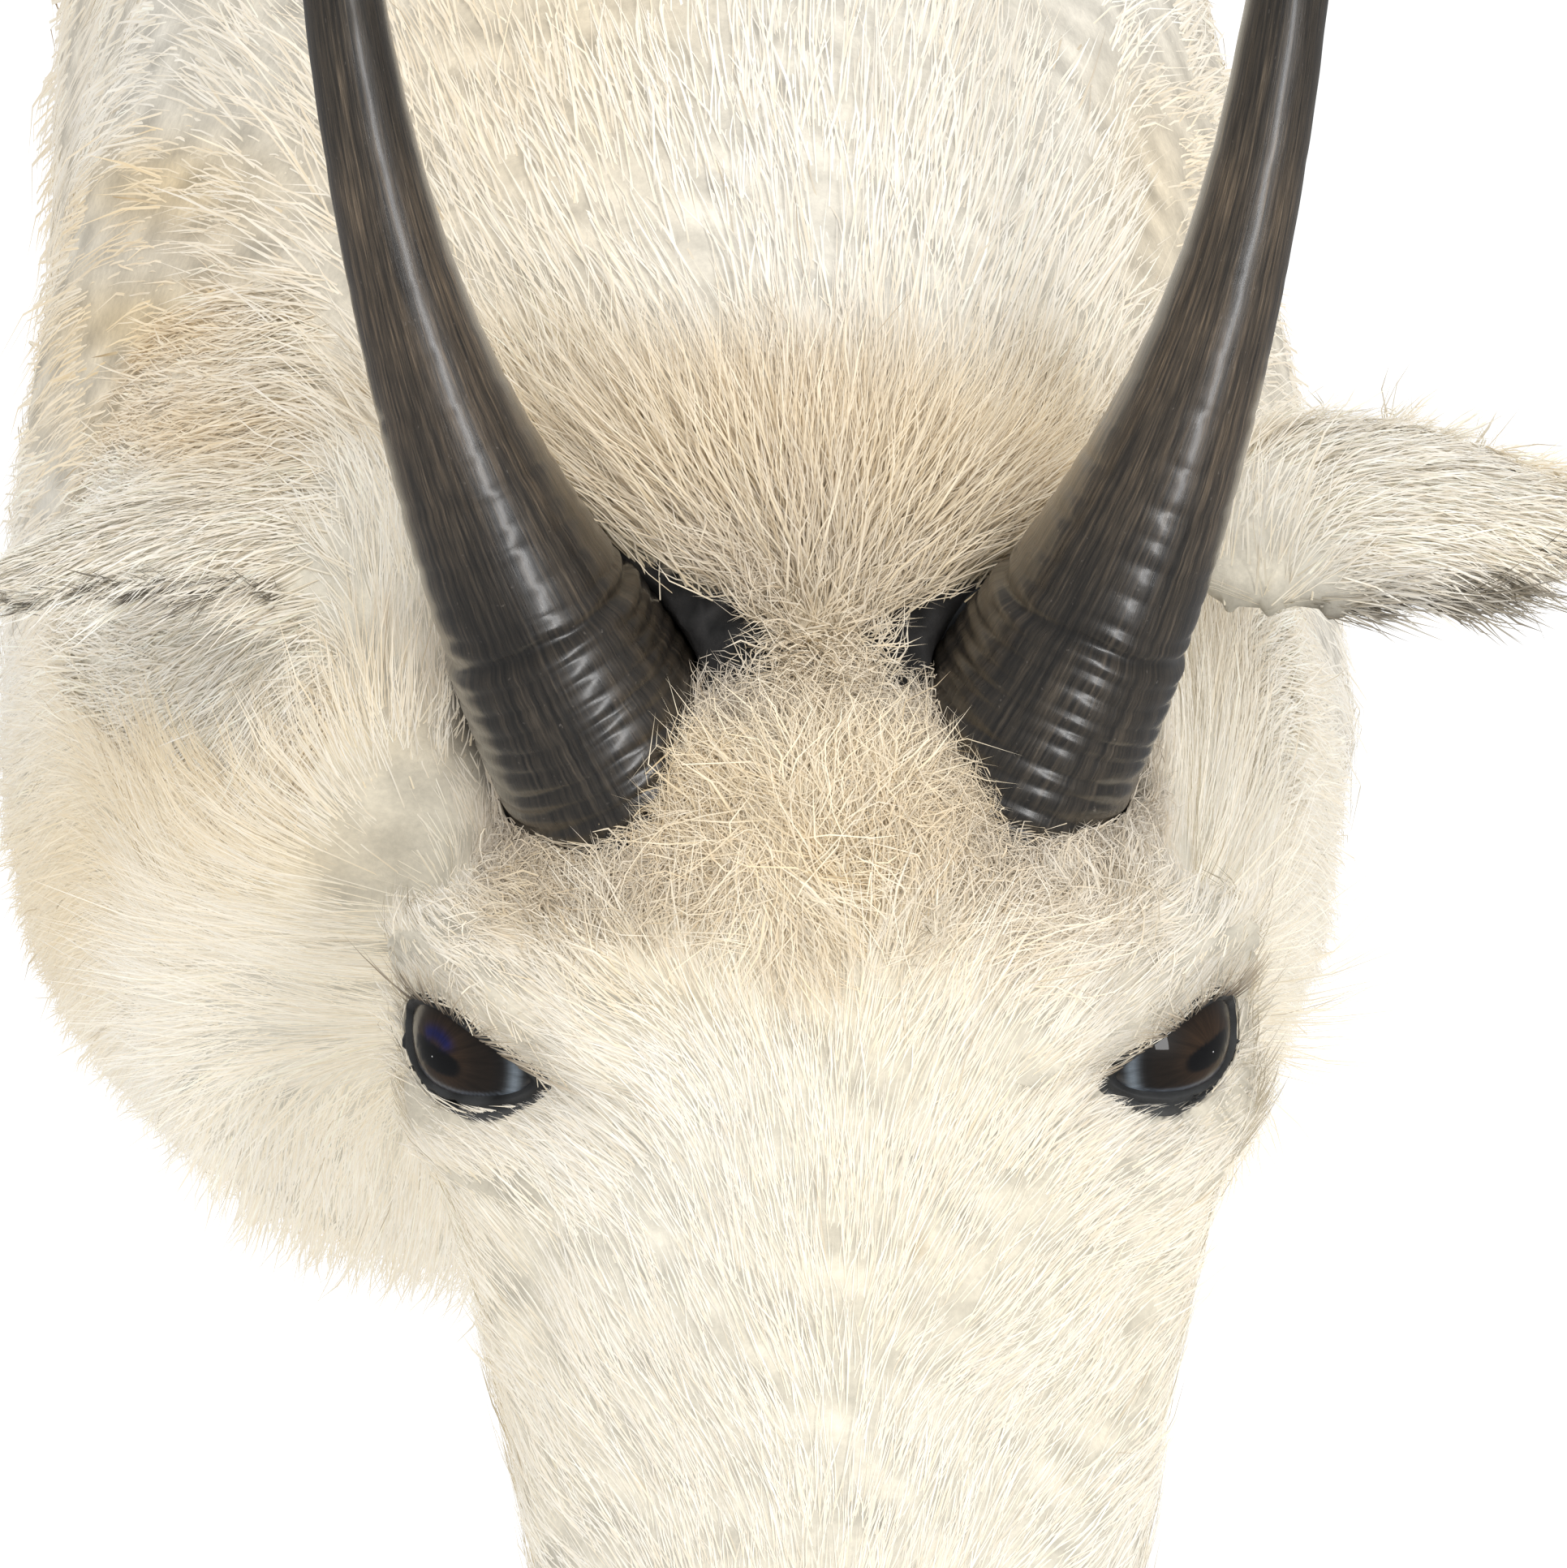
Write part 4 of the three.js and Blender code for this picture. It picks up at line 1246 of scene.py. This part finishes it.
def ribbons(name, paths, normals, widths, roots, tips, rng, colourPower, rolling):
    # each path gets a ribbon across its own run and the skin's normal, turned a little at random
    count, levelCount = paths.shape[:2]
    tangent = unit(np.gradient(paths, axis=1))
    flat = unit(np.cross(tangent, normals[:, None] + 0 * tangent))
    stand = np.cross(flat, tangent)
    roll = np.clip(rng.normal(size=(count, 1, 1)) * rolling, -1.1, 1.1)
    across3 = flat * np.cos(roll) + stand * np.sin(roll)
    t = np.linspace(0, 1, levelCount)
    profile = np.sqrt(1 - t ** 2.2)
    half = mm * 0.5 * widths[:, None, None] * profile[None, :, None]
    left, right = paths - across3 * half, paths + across3 * half
    body = np.stack([left[:, :-1], right[:, :-1]], 2).reshape(count, -1, 3)
    points = np.concatenate([body, paths[:, -1:]], 1)
    perStrand = points.shape[1]
    start = (np.arange(count) * perStrand)[:, None]
    pair = np.arange(levelCount - 2) * 2
    quads = np.stack([start + pair, start + pair + 1, start + pair + 3, start + pair + 2], -1).reshape(-1, 4)
    last = perStrand - 3
    triangles = (start + np.array([last, last + 1, last + 2])).reshape(-1, 3)
    mesh = newMesh(name, points.reshape(-1, 3), triangles, quads)
    # shading follows the coat more than the single hair, so that it looks soft
    facing = unit(0.9 * normals[:, None] + 0.35 * unit(np.cross(across3, tangent)))
    facing = np.concatenate([np.repeat(facing[:, :-1], 2, axis=1), facing[:, -1:]], 1)
    mesh.normals_split_custom_set_from_vertices(facing.reshape(-1, 3).tolist())
    run = np.concatenate([np.repeat(t[:-1], 2), t[-1:]])
    edge = np.concatenate([np.tile([-0.5, 0.5], levelCount - 1), [0.0]])
    grain = np.zeros((count, perStrand, 3))
    grain[:, :, 0] = edge * widths[:, None] + 900 * rng.random((count, 1))
    grain[:, :, 1] = 400 * rng.random((count, 1))
    grain[:, :, 2] = run * 14
    markGrain(mesh, grain.reshape(-1, 3))
    share = run ** colourPower
    colours = blend(roots[:, None], tips[:, None], share[None, :, None])
    paint(mesh, np.clip(colours, 0.01, 0.97).reshape(-1, 3))
    addPiece(name, mesh, materials["fur"], "fur")
    return len(quads) * 2 + len(triangles)


# what a style has where it doesn't say otherwise; coarse is how much wider hair is at the shoulders
plainHair = {
    "sunk": 1.0, "bow": 0.55, "turns": 0.8, "rough": 0.3, "rolling": 0.3, "longer": 1, "lower": 1,
    "hug": 0.95, "coarse": 1.0, "patchy": 0.04, "darkShare": 0.01, "colourPower": 0.7, "soft": False,
}


def growFur(name, style, seed):
    style = {**plainHair, **style}
    rng = np.random.default_rng(seed)
    middles, normals = scatter(style["tufts"], style["weight"], rng)
    coat = coatAt(middles, normals)
    each = style["perTuft"]
    total = len(middles) * each

    def many(values):
        return np.repeat(values, each, axis=0)

    def mixed(tuftShare, strandShare):
        # a random number of the tuft plus one of the strand
        return many(rng.normal(size=len(middles)) * tuftShare) + rng.normal(size=total) * strandShare

    flow, out = many(coat["flow"]), many(normals)
    aside = np.cross(out, flow)
    reach = style["spread"] * mm
    offset = rng.normal(size=(total, 2)) * reach
    offset = aside * offset[:, :1] + flow * offset[:, 1:] * 1.6
    turn = mixed(style["splay"] * 0.5, style["splay"])
    ways = flow * column(np.cos(turn)) + aside * column(np.sin(turn))
    values = {
        "length": many(coat["length"]) * np.clip(1 + mixed(0.14, 0.16), 0.35, 1.6) * style["longer"],
        "lift": (many(coat["lift"]) * style["lower"]
                 * np.exp(np.clip(mixed(0.2, style["rough"]), -0.9, 0.9))),
        "bow": style["bow"], "droop": many(coat["droop"]),
        "wave": many(coat["wave"]) * (1 + 0.3 * rng.normal(size=total)),
        "turns": style["turns"], "phase": mixed(3.0, 0.35),
        "drop": many(formDrop(middles, coat["flow"], normals, coat["length"])) * style["hug"],
    }
    roots = many(middles) + offset - out * style["sunk"] * mm
    levels = np.array(style["levels"])
    paths = strandPaths(roots, ways, aside, out, values, levels)
    pull = style["pull"] * levels[None, :, None] ** 1.2
    paths = keepClear(paths - offset[:, None] * pull)
    kept = ~overEyes(paths)
    shade = np.clip(1 + mixed(style["patchy"], 0.03), 0.7, 1.12)
    tips, base = many(coat["tip"]) * column(shade), many(coat["root"]) * column(shade)
    # a few strands are darker toward their points
    dark = rng.random(total) < style["darkShare"]
    tips = np.where(column(dark), tips * np.array([0.50, 0.44, 0.37]), tips)
    coarse = blend(1.0, style["coarse"], smoothStep(-0.40, -0.20, roots[:, 1]))
    widths = style["width"] * coarse * np.clip(1 + 0.3 * rng.normal(size=total), 0.5, 1.8)
    count = ribbons(name, paths[kept], out[kept], widths[kept], base[kept], tips[kept], rng,
                    style["colourPower"], style["rolling"])
    # bounced light passes through soft hair, much as it does through real white hair
    bpy.data.objects[name].visible_diffuse = not style["soft"]
    print(name, kept.sum(), "strands", count, "triangles")


def regionWeights(points, normals):
    side, along, height = toHead(points)
    head = onHead(along, height)
    ear = sum(earPlaces(points, plan)[2] for plan in (earPlan["left"], earPlan["right"]))
    shown = blend(0.55, 1.0, smoothStep(-0.2, 0.3, normals @ viewBack))
    shown = shown * blend(0.95, 1.4, smoothStep(-0.12, -0.34, points[:, 1]))
    eyeGap = np.minimum(eyeAngles(points, -1)[0], eyeAngles(points, 1)[0])
    shown = shown * blend(1.0, 2.2, smoothStep(36, 24, eyeGap))
    wool = bump(along, -24, 17) * smoothStep(8, 20, height) * smoothStep(58, 44, np.abs(side))
    return {"side": side, "along": along, "height": height, "head": head, "ear": np.clip(ear, 0, 1),
            "fan": fanPart(points), "wool": wool, "shown": shown, "free": 1 - bareness(points)}


def faceWeight(sign):
    def weight(points, normals):
        r = regionWeights(points, normals)
        beardCore = smoothStep(128, 140, r["along"]) * smoothStep(-60, -66, r["height"])
        return (r["free"] * r["head"] * (1 - r["ear"]) * (1 - beardCore) * r["shown"] * (1 - 0.7 * r["fan"])
                * (1 + 0.8 * smoothStep(150, 175, r["along"])) * (np.sign(r["side"]) == sign))
    return weight


def woolWeight(points, normals):
    r = regionWeights(points, normals)
    return r["free"] * (1 - r["fan"]) * r["wool"]


def neckWeight(sign):
    def weight(points, normals):
        r = regionWeights(points, normals)
        right = (points - eyeLine) @ viewRight > -0.01
        return (r["free"] * (1 - r["head"]) * (1 - r["ear"]) * (1 - 0.6 * r["fan"] ** 2) * r["shown"]
                * (right == (sign > 0)))
    return weight


def earWeight(points, normals):
    r = regionWeights(points, normals)
    return r["free"] * r["ear"]


def crestWeight(points, normals):
    r = regionWeights(points, normals)
    return r["free"] * (1 - r["ear"]) * r["fan"]


def beardWeight(points, normals):
    r = regionWeights(points, normals)
    return r["free"] * r["head"] * smoothStep(100, 130, r["along"]) * smoothStep(-50, -58, r["height"])


faceStyle = {"perTuft": 5, "spread": 1.3, "splay": 0.09, "levels": [0, 0.55, 1], "pull": 0.65, "width": 0.22,
             "tufts": 8800, "sunk": 0.4, "rough": 0.25, "soft": True}
woolStyle = {"perTuft": 16, "spread": 3.2, "splay": 0.2, "levels": [0, 0.25, 0.5, 0.76, 1], "pull": 0.95,
             "width": 0.17, "tufts": 1150, "turns": 1.3, "bow": 0.6, "rough": 0.5, "darkShare": 0.03,
             "patchy": 0.12, "weight": woolWeight}
neckStyle = {"perTuft": 8, "spread": 4.0, "splay": 0.06, "levels": [0, 0.5, 1], "pull": 0.5, "width": 0.36,
             "tufts": 6200, "rough": 0.14, "turns": 0.75, "rolling": 0.15, "coarse": 2.2, "soft": True}
# wide flat ribbons just over the skin close the coat beneath the single hairs
underStyle = {"perTuft": 2, "spread": 2.0, "splay": 0.08, "levels": [0, 0.5, 1], "pull": 0.0, "width": 1.9,
              "tufts": 5200, "rough": 0.1, "longer": 0.7, "lower": 0.2, "rolling": 0.04, "soft": True}
earStyle = {"perTuft": 4, "spread": 0.9, "splay": 0.16, "levels": [0, 0.55, 1], "pull": 0.3, "width": 0.28,
            "tufts": 6500, "sunk": 0.5, "weight": earWeight}
crestStyle = {"perTuft": 8, "spread": 1.7, "splay": 0.17, "levels": [0, 0.3, 0.64, 1], "pull": 0.6,
              "width": 0.24, "tufts": 1900, "weight": crestWeight, "bow": 0.3, "colourPower": 1.3,
              "darkShare": 0.05}
beardStyle = {"perTuft": 8, "spread": 2.4, "splay": 0.12, "levels": [0, 0.3, 0.64, 1], "pull": 0.6,
              "width": 0.5, "tufts": 1300, "weight": beardWeight}
growFur("fur_under_left", {**underStyle, "weight": neckWeight(-1)}, 109)
growFur("fur_under_right", {**underStyle, "weight": neckWeight(1)}, 110)
growFur("fur_face_left", {**faceStyle, "weight": faceWeight(-1)}, 101)
growFur("fur_face_right", {**faceStyle, "weight": faceWeight(1)}, 102)
growFur("fur_neck_left", {**neckStyle, "weight": neckWeight(-1)}, 103)
growFur("fur_neck_right", {**neckStyle, "weight": neckWeight(1)}, 104)
growFur("fur_ears", earStyle, 105)
growFur("fur_crest", crestStyle, 106)
growFur("fur_forehead", woolStyle, 108)
growFur("fur_beard", beardStyle, 107)


# Lashes: pale stiff hairs along the brow side of each lid

lashPlan = {"count": 90, "turn": (0.15, 2.9), "length": (6, 11), "width": 0.22, "seed": 111,
            "root": (0.16, 0.13, 0.10), "tip": (0.66, 0.58, 0.46)}


def buildLashes(name, side, rng):
    # each lash leaves the lid outward and curves up toward the brow
    look, slit, brow = gazeFrame(side)
    turn = rng.uniform(*lashPlan["turn"], lashPlan["count"])
    angle = np.radians(openingAngle(turn) + rng.uniform(0.8, 2.4, len(turn)))
    around = column(np.cos(turn)) * slit + column(np.sin(turn)) * brow
    out = column(np.cos(angle)) * look + column(np.sin(angle)) * around
    rise = column(-np.sin(angle)) * look + column(np.cos(angle)) * around
    roots = eyeMiddles[side] + mm * (eyePlan["radius"] + 1.5) * out
    t = np.array([0, 0.35, 0.7, 1])[None, :, None]
    reach = mm * rng.uniform(*lashPlan["length"], (len(turn), 1, 1))
    sideways = rng.normal(size=(len(turn), 1, 1)) * 0.25 * slit
    paths = roots[:, None] + reach * (t * (0.75 * out + 0.35 * rise)[:, None] + t * t * 0.45 * rise[:, None]
                                      + t * sideways - t * t * 0.15 * up)
    shade = column(rng.uniform(0.7, 1.1, len(turn)))
    widths = lashPlan["width"] * rng.uniform(0.7, 1.2, len(turn))
    base, tips = shade * np.array(lashPlan["root"]), shade * np.array(lashPlan["tip"])
    ribbons(name, paths, out, widths, base, tips, rng, plainHair["colourPower"], plainHair["rolling"])


lashRng = np.random.default_rng(lashPlan["seed"])
buildLashes("lashes_left", -1, lashRng)
buildLashes("lashes_right", 1, lashRng)
print("lashes made")


# The board, its hanger and its screws keep their CAD meshes

for node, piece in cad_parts.items():
    if node == "back_board" or node.startswith(("hanger", "board_screw")):
        piece.data.materials.clear()
        piece.data.materials.append(materials["plywood" if node == "back_board" else "steel"])


# Studio: a pale floor well below, a white surround and tall soft lamps round the camera

studioPlan = {
    "floor": -2.4, "floorSize": 30, "glow": 0.45, "surround": 0.72, "mirrored": 0.20,
    # degrees to the camera's right and above the floor, metres away, metres wide and tall, watts
    "lamps": {
        "front lamp": (27, 12, 1.5, 0.26, 1.2, 7.0), "top lamp": (5, 72, 1.6, 1.3, 1.3, 12.5),
        "side lamp": (88, -4, 1.2, 0.16, 1.1, 2.0), "fill lamp": (-62, 10, 1.5, 0.3, 1.0, 2.0)},
    # the only lamp that gloss mirrors
    "glossLamp": "front lamp"}


def buildLamp(name, plan):
    turn, rise, distance, width, height, power = plan
    turn, rise = math.radians(turn), math.radians(rise)
    level = unit(viewBack - (viewBack @ up) * up)
    away = math.cos(rise) * (math.cos(turn) * level + math.sin(turn) * viewRight) + math.sin(rise) * up
    right = unit(np.cross(up, away))
    lamp = bpy.data.lights.new(name, "AREA")
    lamp.shape = "RECTANGLE"
    lamp.size, lamp.size_y, lamp.energy = width, height, power
    piece = bpy.data.objects.new(name, lamp)
    bpy.context.scene.collection.objects.link(piece)
    piece.matrix_world = aimedMatrix(right, np.cross(away, right), away, eyeLine + distance * away)
    piece.visible_glossy = name == studioPlan["glossLamp"]


def buildStudio():
    half = studioPlan["floorSize"] / 2
    corners = np.array([[-half, -half, 0], [half, -half, 0], [half, half, 0], [-half, half, 0]], float)
    corners[:, 2] = studioPlan["floor"]
    mesh = newMesh("floor", corners, np.zeros((0, 3), int), np.array([[0, 1, 2, 3]]))
    material, nodes, links, shader = newMaterial("pale floor")
    mottle = noiseNode(nodes, links, objectPlace(nodes), 3)
    links.new(rampNode(nodes, links, mottle, greyStops(0.3, 0.7, 0.93, 0.96)), shader.inputs["Base Color"])
    setShader(shader, Roughness=0.9, Specular_IOR_Level=0.1, Emission_Color=(1, 1, 1, 1),
              Emission_Strength=studioPlan["glow"])
    mesh.materials.append(material)
    floor = bpy.data.objects.new("floor", mesh)
    bpy.context.scene.collection.objects.link(floor)
    floor.visible_glossy = False
    world = bpy.data.worlds.new("studio")
    world.use_nodes = True
    backdrop = world.node_tree.nodes["Background"]
    backdrop.inputs["Color"].default_value = (1, 1, 1, 1)
    # the backdrop itself is white, and mirrors see a dimmer room, so that gloss comes from the lamps
    links = world.node_tree.links
    rays = world.node_tree.nodes.new("ShaderNodeLightPath")
    seen = world.node_tree.nodes.new("ShaderNodeMapRange")
    seen.inputs["To Min"].default_value = studioPlan["surround"]
    seen.inputs["To Max"].default_value = 1.0
    links.new(rays.outputs["Is Camera Ray"], seen.inputs["Value"])
    strength = world.node_tree.nodes.new("ShaderNodeMapRange")
    strength.inputs["To Max"].default_value = studioPlan["mirrored"]
    links.new(seen.outputs["Result"], strength.inputs["To Min"])
    links.new(rays.outputs["Is Glossy Ray"], strength.inputs["Value"])
    links.new(strength.outputs["Result"], backdrop.inputs["Strength"])
    bpy.context.scene.world = world
    for name, plan in studioPlan["lamps"].items():
        buildLamp(name, plan)
    bpy.context.scene.view_settings.view_transform = "Standard"
    bpy.context.scene.view_settings.look = "None"


buildCamera()
buildStudio()
print("studio made")
